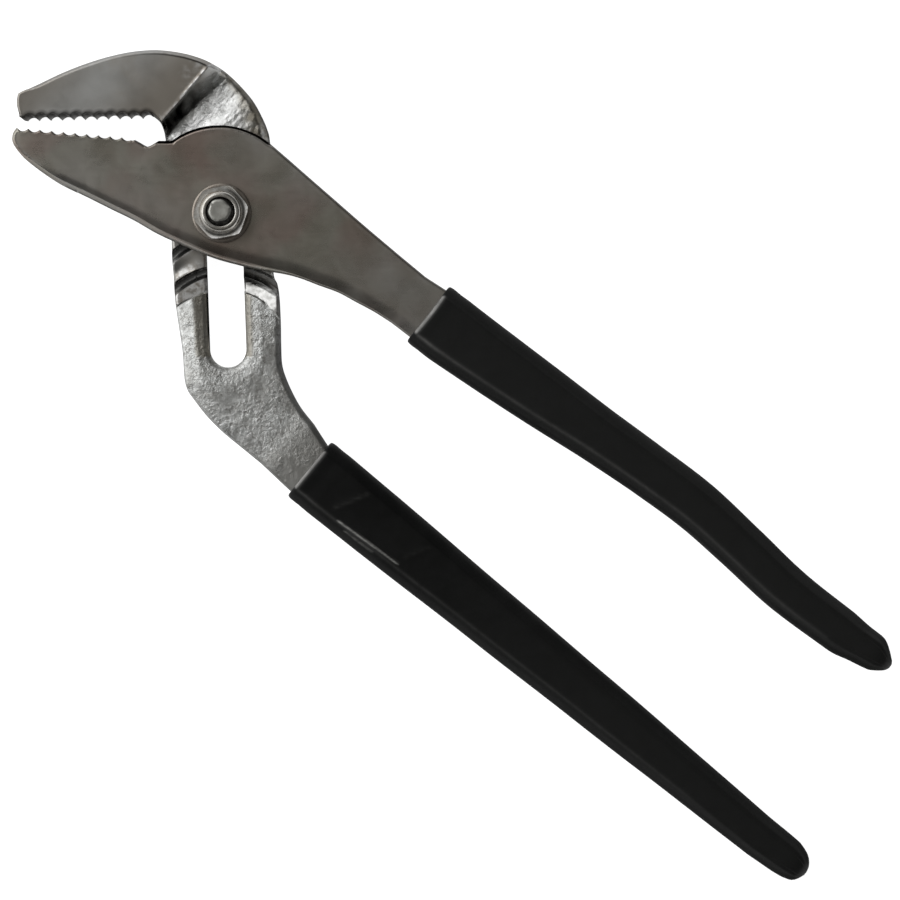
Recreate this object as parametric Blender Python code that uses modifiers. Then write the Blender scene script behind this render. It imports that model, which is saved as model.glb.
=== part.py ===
"""Water pump pliers of the groove-joint kind, 250 mm long, lying flat on their back.

The sketches below are in millimetres with the pivot bolt's axis at (0, 0):
x runs back along the jaws from their tips, y runs from the lower jaw to the
upper one, z rises from the surface the tool lies on to the nut.
"""

import math

import bmesh
import bpy
from mathutils import Matrix, Vector

MM = 0.001

# ---------------------------------------------------------------- dimensions
PIVOT_AT = (-53.33, 58.37)       # pivot axis, from the middle of the tool's outline

JAW_TOP = 12.5                  # both jaws are as thick as the whole joint
REAR_FACE = 6.2                 # front of the slotted half's joint plate
FRONT_BACK = 6.5                # back of the front half's joint plate
REAR_TANG = (1.1, 7.4)          # handle cores, from and to
FRONT_TANG = (5.6, 12.5)
EDGE_ROUND = 0.8                # forged edges

SLOT_TILT = math.radians(2.0)   # the slot leans by this from the y axis
SEAT_PITCH = 5.2                # from one groove to the next
SEATS = 7
SLOT_HALF = 4.25
CHANNEL_HALF = 6.7              # channel for the bolt's head, behind the slot
CHANNEL_DEEP = 2.2
HEAD_LONG = 8.0

ARC_R = 18.5                    # tongue and grooves, round the bolt
GROOVE_WIDE = 2.6
GROOVE_DEEP = 1.7
TONGUE_WIDE = 2.1
TONGUE_HIGH = 1.4
TONGUE_FROM, TONGUE_TO = 68.0, 124.0    # degrees from +x at rest
HUMP = ((-0.78, 2.0), 18.5)              # hump over the tongue: centre, radius

BOLT_R = 4.0
HOLE_R = 4.25
THREAD_R = 3.2
BOLT_END_R = 2.5
WASHER = (3.5, 6.85, 12.7, 13.9)        # inner and outer radius, from and to
NUT_FLATS = 11.2
NUT_Z = (14.1, 18.6, 20.8)              # hexagon from and to, top of the collar
BOLT_TOP = 21.1

GRIP_SKIN = 1.0                 # wall of the dipped skin
GRIP_GAP = 0.2
UPPER_GRIP_Z = (4.4, 13.7)
LOWER_GRIP_Z = (0.0, 8.5)
GRIP_ROUND = 2.4

TOOTH_PITCH = 2.78
TOOTH_DEEP = 0.75

# The front half's lower edge, from the lower jaw's tip to the upper grip.
FRONT_LOWER = [(-48.2, 15.7), (-47.3, 14.4), (-45.5, 12.5), (-41.3, 9.3), (-37.2, 6.7),
               (-31.6, 4.0), (-26.0, 1.2), (-20.5, -1.5), (-14.9, -4.7), (-8.7, -7.5),
               (-2.4, -10.1), (3.1, -11.7), (8.7, -13.0), (14.2, -13.9), (18.0, -14.9),
               (22.2, -16.5), (26.8, -18.2), (30.9, -20.4), (35.0, -22.6), (39.1, -25.2)]
# Its upper edge, from the upper grip to the hump.
FRONT_UPPER = [(47.0, -14.6), (39.9, -8.7), (32.8, -2.7), (25.8, 3.4), (18.8, 9.5),
               (15.4, 12.5)]
# From the hump down into the throat and up to the teeth.
FRONT_THROAT = [(-14.7, 16.9), (-16.8, 15.7), (-17.7, 15.8), (-19.1, 16.6), (-20.4, 17.3)]
FRONT_TEETH = ((-20.4, 17.3), (-47.4, 19.8))

# The rear half: over the jaw from its tip, then down its right side.
REAR_TOP = [(-47.2, 22.8), (-47.7, 25.2), (-47.5, 27.4), (-46.7, 28.4), (-42.7, 30.3),
            (-37.2, 32.9), (-31.6, 35.1), (-26.0, 36.8), (-20.5, 37.9), (-14.9, 38.2),
            (-9.4, 37.5), (-5.2, 36.3), (-2.4, 35.0), (0.3, 33.4), (3.1, 30.9),
            (5.9, 27.8), (7.4, 25.7), (8.8, 23.1), (10.1, 20.1), (10.8, 16.9),
            (11.2, 8.0), (11.3, -4.0), (11.6, -13.4), (12.5, -16.0), (13.0, -19.0),
            (13.3, -24.5), (13.4, -30.1), (13.6, -34.5), (14.4, -37.5), (16.0, -41.2),
            (18.1, -44.9), (21.1, -48.7)]
# Its left side, from the lower grip back up to the throat.
REAR_LEFT = [(8.7, -57.8), (4.3, -54.2), (-0.2, -50.5), (-3.9, -46.8), (-6.8, -43.1),
             (-8.3, -41.0), (-9.0, -39.0), (-9.3, -36.6), (-9.6, -31.9), (-10.4, -26.4),
             (-11.2, -20.8), (-11.6, -15.3), (-12.0, -9.7), (-12.2, -2.0), (-12.8, 9.0),
             (-13.5, 16.7), (-13.8, 19.4), (-14.6, 21.4), (-16.2, 22.8)]
REAR_TEETH = ((-16.2, 22.6), (-45.7, 22.0))

# The upper jaw's thickness ends at a sloping wall, along this line.
STEP_LINE = ((-2.9, 34.0), (-13.3, 22.0))
STEP_RUN = 2.6
# The lower jaw's thickness ends, at the back, along this line.
BACK_STEP = ((-17.4, 15.2), (-33.6, 4.9))

# Grips: middle lines, and half widths at distances from the mouth.
UPPER_LINE = [(47.6, -23.1), (53.2, -27.4), (64.5, -35.5), (75.9, -43.5), (87.3, -51.4),
              (98.7, -59.4), (109.8, -67.7), (120.1, -77.1), (130.3, -86.7),
              (141.3, -95.2), (154.0, -104.4)]
UPPER_HALF = [(0, 8.05), (6, 8.15), (20, 7.75), (34, 7.2), (48, 6.6), (62, 6.2), (76, 6.1),
              (90, 5.8), (104, 5.7), (118, 5.4), (140, 5.0)]
LOWER_LINE = [(20.0, -59.0), (58.4, -90.3), (96.5, -121.4), (135.2, -153.2)]
LOWER_HALF = [(0, 8.05), (6, 8.15), (20, 7.95), (40, 7.45), (60, 7.0), (80, 6.5), (100, 6.05),
              (118, 5.5), (132, 5.1), (150, 4.6)]

# Colours (linear), roughness, metallic.
STEEL = ((0.115, 0.100, 0.085), 0.34, 1.0)
FORGED = ((0.330, 0.320, 0.305), 0.42, 1.0)
PLATED = ((0.420, 0.410, 0.395), 0.25, 1.0)
DARK_INSERT = ((0.010, 0.010, 0.011), 0.6, 0.0)
BLACK_VINYL = ((0.007, 0.0075, 0.007), 0.36, 0.0)


# ------------------------------------------------------------------- helpers
def clear_scene():
    for obj in list(bpy.data.objects):
        bpy.data.objects.remove(obj)


def new_collection(name):
    made = bpy.data.collections.new(name)
    bpy.context.scene.collection.children.link(made)
    return made


def material(name, look):
    colour, roughness, metallic = look
    made = bpy.data.materials.new(name)
    made.use_nodes = True
    shader = made.node_tree.nodes["Principled BSDF"]
    shader.inputs["Base Color"].default_value = (*colour, 1.0)
    shader.inputs["Roughness"].default_value = roughness
    shader.inputs["Metallic"].default_value = metallic
    return made


def frame(name, at):
    empty = bpy.data.objects.new(name, None)
    empty.empty_display_size = 0.01
    empty.location = at
    PARTS.objects.link(empty)
    return empty


def place(mesh, name, parent, where, local=None):
    obj = bpy.data.objects.new(name, mesh)
    where.objects.link(obj)
    obj.parent = parent
    if local is not None:
        obj.matrix_local = local
    if where is CUTTERS:
        obj.hide_render = True
        obj.display_type = "WIRE"
    return obj


def smooth_line(points, step):
    """A curve through the points, sampled about every step millimetres."""
    points = [Vector(p) for p in points]
    ends = [2 * points[0] - points[1], *points, 2 * points[-1] - points[-2]]
    out = []
    for a, b, c, d in zip(ends, ends[1:], ends[2:], ends[3:]):
        count = max(1, round((c - b).length / step))
        for i in range(count):
            t = i / count
            out.append(
                0.5 * ((2 * b) + (c - a) * t + (2 * a - 5 * b + 4 * c - d) * t * t
                       + (3 * b - a - 3 * c + d) * t ** 3)
            )
    return out + [points[-1]]


def arc(centre, radius, start, stop, step=5.0):
    count = max(2, math.ceil(abs(stop - start) / step))
    return [
        Vector((centre[0] + radius * math.cos(math.radians(start + (stop - start) * i / count)),
                centre[1] + radius * math.sin(math.radians(start + (stop - start) * i / count))))
        for i in range(count + 1)
    ]


def prism_mesh(name, outline, low, high):
    """A flat outline, filled and extruded from low to high, as a welded mesh."""
    curve = bpy.data.curves.new(name, "CURVE")
    curve.dimensions = "2D"
    curve.fill_mode = "BOTH"
    curve.extrude = (high - low) / 2 * MM
    spline = curve.splines.new("POLY")
    spline.points.add(len(outline) - 1)
    for point, at in zip(spline.points, outline):
        point.co = (at[0] * MM, at[1] * MM, 0, 1)
    spline.use_cyclic_u = True
    drawn = bpy.data.objects.new(name, curve)
    bpy.context.scene.collection.objects.link(drawn)
    graph = bpy.context.evaluated_depsgraph_get()
    mesh = bpy.data.meshes.new_from_object(drawn.evaluated_get(graph))
    bpy.data.objects.remove(drawn)
    bpy.data.curves.remove(curve)
    form = bmesh.new()
    form.from_mesh(mesh)
    bmesh.ops.remove_doubles(form, verts=form.verts, dist=1e-6)
    bmesh.ops.translate(form, verts=form.verts, vec=(0, 0, (low + high) / 2 * MM))
    bmesh.ops.dissolve_limit(form, angle_limit=math.radians(0.05), verts=form.verts,
                             edges=form.edges)
    bmesh.ops.recalc_face_normals(form, faces=form.faces)
    form.to_mesh(mesh)
    form.free()
    mesh.name = name
    return mesh


def turned_mesh(name, profile, steps=36):
    """A closed profile of (radius, height) turned round the z axis."""
    mesh = bpy.data.meshes.new(name)
    form = bmesh.new()
    ring = [form.verts.new((r * MM, 0, z * MM)) for r, z in profile]
    for a, b in zip(ring, ring[1:] + ring[:1]):
        form.edges.new((a, b))
    bmesh.ops.spin(form, geom=form.verts[:] + form.edges[:], cent=(0, 0, 0), axis=(0, 0, 1),
                   angle=2 * math.pi, steps=steps, use_merge=True)
    bmesh.ops.remove_doubles(form, verts=form.verts, dist=1e-7)
    bmesh.ops.recalc_face_normals(form, faces=form.faces)
    form.to_mesh(mesh)
    form.free()
    return mesh


def rounded(obj, width, segments):
    bevel = obj.modifiers.new("rounded_edges", "BEVEL")
    bevel.width = width * MM
    bevel.segments = segments
    bevel.limit_method = "ANGLE"
    bevel.angle_limit = math.radians(50)
    bevel.use_clamp_overlap = False


def combine(obj, other, operation):
    boolean = obj.modifiers.new(other.name, "BOOLEAN")
    boolean.operation = operation
    boolean.object = other
    boolean.solver = "EXACT"


def width_at(table, distance):
    for (d0, w0), (d1, w1) in zip(table, table[1:]):
        if distance <= d1:
            return w0 + (w1 - w0) * max(0.0, distance - d0) / (d1 - d0)
    return table[-1][1]


def handle_sides(line, table, inset, step, start=0.0, stop_short=0.0):
    """The two sides of a handle with a round end: (left side, end, right side).

    The left side lies to the left of the middle line as it leaves the joint.
    """
    middle = smooth_line(line, step)
    along = [0.0]
    for a, b in zip(middle, middle[1:]):
        along.append(along[-1] + (b - a).length)
    total = along[-1] - stop_short
    end_r = width_at(table, total) - inset
    left, right = [], []
    for i, (at, far) in enumerate(zip(middle, along)):
        if far < start or far > total - end_r:
            continue
        before, after = middle[max(i - 1, 0)], middle[min(i + 1, len(middle) - 1)]
        way = (after - before).normalized()
        side = Vector((-way.y, way.x))
        half = width_at(table, far) - inset
        left.append(at + side * half)
        right.append(at - side * half)
    way = (middle[-1] - middle[-2]).normalized()
    angle = math.degrees(math.atan2(way.y, way.x))
    centre = (left[-1] + right[-1]) / 2
    radius = (left[-1] - right[-1]).length / 2
    reach = max(0.0, total - radius - [f for f in along if f <= total - end_r][-1])
    centre = centre + way * reach
    end = arc(centre, radius, angle + 90, angle - 90, 15)
    return left, end, right


def stadium(radius, low, high):
    """A slot outline along the slide, from low to high (down the slot)."""
    points = arc((0, -low), radius, 0, 180, 12) + arc((0, -high), radius, 180, 360, 12)
    turn = Matrix.Rotation(SLOT_TILT, 2)
    return [turn @ p for p in points]


def seat(number):
    far = number * SEAT_PITCH
    return Vector((far * math.sin(SLOT_TILT), -far * math.cos(SLOT_TILT)))


def arc_band(centre, radius, wide, start, stop):
    return (arc(centre, radius + wide / 2, start, stop, 4)
            + arc(centre, radius - wide / 2, stop, start, 4))


def teeth_outline(line, toward):
    """The saw-tooth strip that is cut out of a jaw's face; toward is into the jaw."""
    start, stop = Vector(line[0]), Vector(line[1])
    way = (stop - start).normalized()
    into = Vector((-way.y, way.x))
    if into.y * toward < 0:
        into = -into
    count = round((stop - start).length / TOOTH_PITCH)
    pitch = (stop - start).length / count
    points = []
    for i in range(count):
        foot = start + way * (i * pitch)
        points.append(foot - into * 0.02)
        points.append(foot + way * (0.38 * pitch) + into * TOOTH_DEEP)
        points.append(foot + way * (0.62 * pitch) + into * TOOTH_DEEP)
    points.append(stop - into * 0.02)
    return points + [stop - into * 1.6 + way * 0.3, start - into * 1.6 - way * 0.3]


def side_prism(name, parent, origin, way, profile, reach):
    """A profile of (distance along way, height), extruded to both sides of way."""
    mesh = prism_mesh(name, profile, -reach, reach)
    way = Vector(way).normalized()
    side = Vector((way.y, -way.x))
    local = Matrix((
        (way.x, 0, side.x, origin[0] * MM),
        (way.y, 0, side.y, origin[1] * MM),
        (0, 1, 0, 0),
        (0, 0, 0, 1),
    ))
    return place(mesh, name, parent, CUTTERS, local)


def finish(obj, look):
    obj.data.materials.clear()
    obj.data.materials.append(look)


# --------------------------------------------------------------------- model
clear_scene()
PARTS = new_collection("water_pump_pliers")
CUTTERS = new_collection("cutters")

pivot_at = (PIVOT_AT[0] * MM, PIVOT_AT[1] * MM, 0)
rear_frame = frame("rear_half_frame", pivot_at)
pivot_frame = frame("pivot_frame", pivot_at)
front_frame = frame("front_half_frame", pivot_at)

# ---- rear half: upper jaw, slotted joint plate, core of the lower handle
left, end, right = handle_sides(LOWER_LINE, LOWER_HALF, GRIP_SKIN + GRIP_GAP, 6.0, 0.0, 2.6)
outline = smooth_line(REAR_TOP, 3.0) + left + end[1:-1] + right[::-1]
outline += smooth_line(REAR_LEFT, 3.0) + [Vector(REAR_TEETH[1])]
rear_arm = place(prism_mesh("rear_arm", outline, 0, JAW_TOP), "rear_arm", rear_frame, PARTS)
rounded(rear_arm, EDGE_ROUND, 2)

# the joint plate's face, below the jaw's sloping wall, rising a little to the handle
top, foot = Vector(STEP_LINE[0]), Vector(STEP_LINE[1])
across = (foot - top).normalized()
away = Vector((-across.y, across.x))
slope = STEP_RUN / (JAW_TOP - REAR_FACE)
mouth = (Vector(LOWER_LINE[0]) - top).dot(away)
face_cut = side_prism(
    "joint_face_cut", rear_frame, top, away,
    [(-slope, JAW_TOP + 1), (STEP_RUN, REAR_FACE), (mouth - 7.5, REAR_FACE),
     (mouth - 2.5, REAR_TANG[1]), (260, REAR_TANG[1]), (260, JAW_TOP + 1)], 150)
combine(rear_arm, face_cut, "DIFFERENCE")
back_cut = side_prism(
    "handle_back_cut", rear_frame, top, away,
    [(mouth - 8.5, -0.3), (mouth - 2.5, REAR_TANG[0]), (260, REAR_TANG[0]), (260, -0.9),
     (mouth - 8.5, -0.9)], 150)
combine(rear_arm, back_cut, "DIFFERENCE")

travel = (SEATS - 1) * SEAT_PITCH
slot = place(prism_mesh("slot", stadium(SLOT_HALF, 0, travel), -2, 15), "slot",
             rear_frame, CUTTERS)
combine(rear_arm, slot, "DIFFERENCE")
turn = Matrix.Rotation(SLOT_TILT, 2)
ends = HEAD_LONG + 0.35
channel_outline = [turn @ Vector(p) for p in (
    (-CHANNEL_HALF, ends), (-CHANNEL_HALF, -travel - ends),
    (CHANNEL_HALF, -travel - ends), (CHANNEL_HALF, ends))]
channel = place(prism_mesh("head_channel", channel_outline, -1, CHANNEL_DEEP), "head_channel",
                rear_frame, CUTTERS)
combine(rear_arm, channel, "DIFFERENCE")
for k in range(SEATS):
    groove = place(
        prism_mesh("groove", arc_band(seat(k), ARC_R, GROOVE_WIDE, 28, 170),
                   REAR_FACE - GROOVE_DEEP, JAW_TOP - 2), "groove_%d" % k, rear_frame, CUTTERS)
    combine(rear_arm, groove, "DIFFERENCE")
upper_teeth = place(prism_mesh("upper_teeth", teeth_outline(REAR_TEETH, 1), -1, 14),
                    "upper_teeth", rear_frame, CUTTERS)
combine(rear_arm, upper_teeth, "DIFFERENCE")
finish(rear_arm, material("forged_steel_rear", FORGED))

# ---- front half: lower jaw, hump, core of the upper handle
left, end, right = handle_sides(UPPER_LINE, UPPER_HALF, GRIP_SKIN + GRIP_GAP, 6.0, 0.0, 2.6)
hump = arc(*HUMP, 49, 126.5, 4)
outline = smooth_line(FRONT_LOWER, 3.0) + right + end[::-1][1:-1] + left[::-1]
outline += smooth_line(FRONT_UPPER, 3.0) + hump + smooth_line(FRONT_THROAT, 1.5)
outline += [Vector(FRONT_TEETH[1]), Vector((-48.3, 18.6))]
front_arm = place(prism_mesh("front_arm", outline, 0, JAW_TOP), "front_arm", front_frame, PARTS)
rounded(front_arm, EDGE_ROUND, 2)

# the back is cut away behind the joint and, less deep, behind the handle
near, far = Vector(BACK_STEP[0]), Vector(BACK_STEP[1])
run = (far - near).normalized()
arm_way = Vector((0.766, -0.643))
arm_side = Vector((arm_way.y, -arm_way.x))
joint_back = place(
    prism_mesh("joint_back_cut",
               [near - run * 4, near - run * 30 + Vector((0, 14)),
                arm_way * 32 - arm_side * 60, arm_way * 32 + arm_side * 60,
                far + run * 14], -2, FRONT_BACK), "joint_back_cut", front_frame, CUTTERS)
combine(front_arm, joint_back, "DIFFERENCE")
tang_back = side_prism(
    "handle_core_cut", front_frame, (0, 0), arm_way,
    [(31, -2), (31, FRONT_BACK), (37, FRONT_TANG[0]), (220, FRONT_TANG[0]), (220, -2)], 120)
combine(front_arm, tang_back, "DIFFERENCE")
tongue = place(
    prism_mesh("tongue", arc_band((0, 0), ARC_R, TONGUE_WIDE, TONGUE_FROM, TONGUE_TO),
               FRONT_BACK - TONGUE_HIGH - 0.3, FRONT_BACK + 2), "tongue", front_frame, CUTTERS)
combine(front_arm, tongue, "UNION")
hole = place(prism_mesh("pivot_hole", arc((0, 0), HOLE_R, 0, 350, 10), -2, 16), "pivot_hole",
             front_frame, CUTTERS)
combine(front_arm, hole, "DIFFERENCE")
lower_teeth = place(prism_mesh("lower_teeth", teeth_outline(FRONT_TEETH, -1), -1, 14),
                    "lower_teeth", front_frame, CUTTERS)
combine(front_arm, lower_teeth, "DIFFERENCE")
finish(front_arm, material("plated_steel_front", STEEL))

# ---- pivot: bolt with a flat-sided head behind, washer and locking nut in front
bolt = place(
    turned_mesh("pivot_bolt", [
        (0, 0.1), (HEAD_LONG - 0.4, 0.1), (HEAD_LONG, 0.5), (HEAD_LONG, CHANNEL_DEEP - 0.3),
        (BOLT_R, CHANNEL_DEEP - 0.3), (BOLT_R, WASHER[2] - 0.2), (THREAD_R, WASHER[2] - 0.2),
        (THREAD_R, BOLT_TOP - 0.8), (BOLT_END_R, BOLT_TOP), (0, BOLT_TOP)]),
    "pivot_bolt", pivot_frame, PARTS, Matrix.Rotation(SLOT_TILT, 4, "Z"))
for side in (-1, 1):
    flat = place(
        prism_mesh("head_flat", [(side * (CHANNEL_HALF - 0.2), -12), (side * 14, -12),
                                 (side * 14, 12), (side * (CHANNEL_HALF - 0.2), 12)],
                   -1, CHANNEL_DEEP + 0.5), "head_flat_%d" % (side + 2), pivot_frame, CUTTERS,
        Matrix.Rotation(SLOT_TILT, 4, "Z"))
    combine(bolt, flat, "DIFFERENCE")
finish(bolt, material("bolt_steel", PLATED))

inner, outer, low, high = WASHER
washer = place(
    turned_mesh("pivot_washer", [(inner, low), (outer, low), (outer, high - 0.25),
                                 (outer - 0.25, high), (inner, high)]),
    "pivot_washer", pivot_frame, PARTS)
finish(washer, material("washer_steel", PLATED))

corner = NUT_FLATS / 2 / math.cos(math.radians(30))
lock_nut = place(
    prism_mesh("lock_nut", arc((0, 0), corner, 6, 306, 60), NUT_Z[0], NUT_Z[2]),
    "lock_nut", pivot_frame, PARTS)
crown = place(
    turned_mesh("nut_crown", [
        (0, NUT_Z[0] - 1), (5.8, NUT_Z[0] - 1), (5.8, NUT_Z[0]), (6.6, NUT_Z[0] + 0.5),
        (6.6, NUT_Z[1] - 0.6), (5.4, NUT_Z[1]), (5.0, NUT_Z[1] + 0.15), (4.9, NUT_Z[1] + 1.2),
        (4.35, NUT_Z[2]), (0, NUT_Z[2])]),
    "nut_crown", pivot_frame, CUTTERS)
combine(lock_nut, crown, "INTERSECT")
nut_bore = place(
    turned_mesh("nut_bore", [
        (0, NUT_Z[0] - 1), (THREAD_R + 0.2, NUT_Z[0] - 1), (THREAD_R + 0.2, NUT_Z[1] + 0.1),
        (4.15, NUT_Z[1] + 0.1), (4.15, NUT_Z[2] - 0.45), (3.6, NUT_Z[2] - 0.45),
        (3.6, NUT_Z[2] + 1), (0, NUT_Z[2] + 1)]),
    "nut_bore", pivot_frame, CUTTERS)
combine(lock_nut, nut_bore, "DIFFERENCE")
finish(lock_nut, material("nut_steel", PLATED))

lock_ring = place(
    turned_mesh("nut_lock_ring", [
        (THREAD_R + 0.2, NUT_Z[1] + 0.3), (3.95, NUT_Z[1] + 0.3), (3.95, NUT_Z[2] - 0.65),
        (THREAD_R + 0.2, NUT_Z[2] - 0.65)]),
    "nut_lock_ring", pivot_frame, PARTS)
finish(lock_ring, material("lock_insert", DARK_INSERT))

# ---- dipped grips
for name, parent, line, table, (low, high), core in (
        ("upper_grip", front_frame, UPPER_LINE, UPPER_HALF, UPPER_GRIP_Z, FRONT_TANG),
        ("lower_grip", rear_frame, LOWER_LINE, LOWER_HALF, LOWER_GRIP_Z, REAR_TANG)):
    left, end, right = handle_sides(line, table, 0.0, 6.0)
    outline = left + end[1:-1] + right[::-1]
    grip = place(prism_mesh(name, outline, low, high), name, parent, PARTS)
    rounded(grip, GRIP_ROUND, 3)
    left, end, right = handle_sides(line, table, GRIP_SKIN, 6.0, 0.0, 2.2)
    way = (Vector(line[1]) - Vector(line[0])).normalized()
    inside = [left[0] - way * 6] + left + end[1:-1] + right[::-1] + [right[0] - way * 6]
    pocket = place(prism_mesh(name + "_pocket", inside, core[0] - GRIP_GAP, core[1] + GRIP_GAP),
                   name + "_pocket", parent, CUTTERS)
    combine(grip, pocket, "DIFFERENCE")
    finish(grip, material("vinyl_" + name, BLACK_VINYL))

# round pieces are shaded smooth
for piece in (bolt, washer, lock_nut, lock_ring):
    piece.data.shade_smooth()
    piece.data.set_sharp_from_angle(angle=math.radians(35))
bpy.context.view_layer.update()
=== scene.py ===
"""Looks of a pair of groove-joint water pump pliers, lying on their back.

The two forgings, the pivot fittings and the dipped grips are modelled here as finished
surfaces. Sketches are in millimetres round the pivot bolt's axis: x runs back from the jaw
tips, y from the lower jaw to the upper one, z from the resting face to the nut.
"""

import math

import bpy
import numpy as np
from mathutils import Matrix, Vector, noise
from mathutils.geometry import delaunay_2d_cdt


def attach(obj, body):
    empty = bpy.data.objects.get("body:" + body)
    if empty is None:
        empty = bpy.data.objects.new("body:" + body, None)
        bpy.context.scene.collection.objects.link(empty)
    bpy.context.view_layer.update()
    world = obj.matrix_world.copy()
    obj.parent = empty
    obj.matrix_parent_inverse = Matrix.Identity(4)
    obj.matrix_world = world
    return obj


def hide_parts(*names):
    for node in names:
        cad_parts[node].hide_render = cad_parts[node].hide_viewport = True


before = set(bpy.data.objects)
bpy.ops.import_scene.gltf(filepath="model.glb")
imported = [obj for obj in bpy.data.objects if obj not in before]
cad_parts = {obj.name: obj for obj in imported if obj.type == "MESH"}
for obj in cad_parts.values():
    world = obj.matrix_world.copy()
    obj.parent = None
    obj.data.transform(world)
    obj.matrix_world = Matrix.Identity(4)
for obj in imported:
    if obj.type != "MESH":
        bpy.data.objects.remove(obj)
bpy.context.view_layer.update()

MM = 0.001
PIVOT = np.array((-53.33, 58.37))

# ------------------------------------------------------------------ dimensions
JAW_TOP = 12.5
REAR_FACE = 6.2
FRONT_BACK = 6.5
REAR_TANG = (1.1, 7.4)
FRONT_TANG = (5.6, 12.5)
SLOT_TILT = math.radians(2.0)
SEAT_PITCH, SEATS = 7.8, 5       # the grooves that show are this far apart
TRAVEL = SEAT_PITCH * (SEATS - 1)
SLOT_HALF = 4.25
CHANNEL_HALF, CHANNEL_DEEP, HEAD_LONG = 6.7, 2.2, 8.0
ARC_R, GROOVE_WIDE, GROOVE_DEEP = 18.5, 2.6, 1.7
TONGUE_HIGH, TONGUE_FROM, TONGUE_TO = 1.15, 68.0, 124.0
TONGUE_IN, TONGUE_OUT = 0.70, 0.85   # either side of the arc, clear of the walls of a groove
PAD_R = 13.9                    # the milled pad ends at this radius round the last seat
PAD_LEFT = ((1.1, -38.3), 21.0)  # and on a flatter curve on the left leg
HUMP = ((-0.78, 2.0), 18.5)
HOLE_R = 4.25
GRIP_SKIN, GRIP_GAP = 1.0, 0.2

FRONT_LOWER = [(-48.2, 15.7), (-47.3, 14.4), (-45.5, 12.5), (-41.3, 9.3), (-37.2, 6.7),
               (-31.6, 4.0), (-26.0, 1.2), (-20.5, -1.5), (-14.9, -4.7), (-8.7, -7.5),
               (-2.4, -10.1), (3.1, -11.7), (8.7, -13.0), (14.2, -13.9), (18.0, -14.9),
               (22.2, -16.5), (26.8, -18.2), (30.9, -20.4), (35.0, -22.6), (39.1, -25.2)]
FRONT_UPPER = [(47.0, -14.6), (39.9, -8.7), (32.8, -2.7), (25.8, 3.4), (18.8, 9.5),
               (15.4, 12.5)]
FRONT_THROAT = [(-14.7, 16.9), (-16.8, 15.7), (-17.7, 15.8), (-19.1, 16.6), (-20.4, 17.3)]
FRONT_TEETH = ((-20.4, 17.3), (-47.4, 19.8))
REAR_TOP = [(-47.2, 22.8), (-47.7, 25.2), (-47.5, 27.4), (-46.7, 28.4), (-42.7, 30.3),
            (-37.2, 32.9), (-31.6, 35.1), (-26.0, 36.8), (-20.5, 37.9), (-14.9, 38.2),
            (-9.4, 37.5), (-5.2, 36.3), (-2.4, 35.0), (0.3, 33.4), (3.1, 30.9),
            (5.9, 27.8), (7.4, 25.7), (8.8, 23.1), (10.1, 20.1), (10.8, 16.9),
            (11.2, 8.0), (11.3, -4.0), (11.6, -13.4), (12.5, -16.0), (13.0, -19.0),
            (13.3, -24.5), (13.4, -30.1), (13.6, -34.5), (14.4, -37.5), (16.0, -41.2),
            (18.1, -44.9), (21.1, -48.7)]
REAR_LEFT = [(8.7, -57.8), (4.3, -54.2), (-0.2, -50.5), (-3.9, -46.8), (-6.8, -43.1),
             (-8.3, -41.0), (-9.0, -39.0), (-9.3, -36.6), (-9.6, -31.9), (-10.4, -26.4),
             (-11.2, -20.8), (-11.6, -15.3), (-12.0, -9.7), (-12.2, -2.0), (-12.8, 9.0),
             (-13.5, 16.7), (-13.8, 19.4), (-14.6, 21.4), (-16.2, 22.8)]
REAR_TEETH = ((-16.2, 22.6), (-45.7, 22.0))
STEP_LINE = ((-2.9, 34.0), (-13.3, 22.0))
STEP_RUN = 2.6
BACK_STEP = ((-17.4, 15.2), (-33.6, 4.9))
UPPER_LINE = [(47.6, -23.1), (53.2, -27.4), (64.5, -35.5), (75.9, -43.5), (87.3, -51.4),
              (98.7, -59.4), (109.8, -67.7), (120.1, -77.1), (130.3, -86.7),
              (141.3, -95.2), (154.0, -104.4)]
UPPER_HALF = [(0, 8.05), (6, 8.15), (20, 7.75), (34, 7.2), (48, 6.6), (62, 6.2), (76, 6.1),
              (90, 5.8), (104, 5.7), (118, 5.4), (140, 5.0)]
LOWER_LINE = [(20.0, -59.0), (58.4, -90.3), (96.5, -121.4), (135.2, -153.2)]
LOWER_HALF = [(0, 8.05), (6, 8.15), (20, 7.95), (40, 7.45), (60, 7.0), (80, 6.5), (100, 6.05),
              (118, 5.5), (132, 5.1), (150, 4.6)]
UPPER_GRIP_Z = (4.4, 13.7)
LOWER_GRIP_Z = (0.0, 8.5)


# ------------------------------------------------------------------ plane geometry
def curve(points, step):
    """A curve through the points, sampled about every step millimetres."""
    p = np.array(points, float)
    ends = np.vstack([2 * p[0] - p[1], p, 2 * p[-1] - p[-2]])
    out = []
    for a, b, c, d in zip(ends, ends[1:], ends[2:], ends[3:]):
        count = max(1, round(float(np.linalg.norm(c - b)) / step))
        t = (np.arange(count) / count)[:, None]
        out.append(0.5 * (2 * b + (c - a) * t + (2 * a - 5 * b + 4 * c - d) * t ** 2
                          + (3 * b - a - 3 * c + d) * t ** 3))
    return np.vstack(out + [p[-1:]])


def arc(centre, radius, start, stop, step=3.0):
    count = max(2, math.ceil(abs(stop - start) / step))
    a = np.radians(np.linspace(start, stop, count + 1))
    return np.column_stack([centre[0] + radius * np.cos(a), centre[1] + radius * np.sin(a)])


def seat(number):
    far = number * SEAT_PITCH
    return np.array((far * math.sin(SLOT_TILT), -far * math.cos(SLOT_TILT)))


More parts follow.
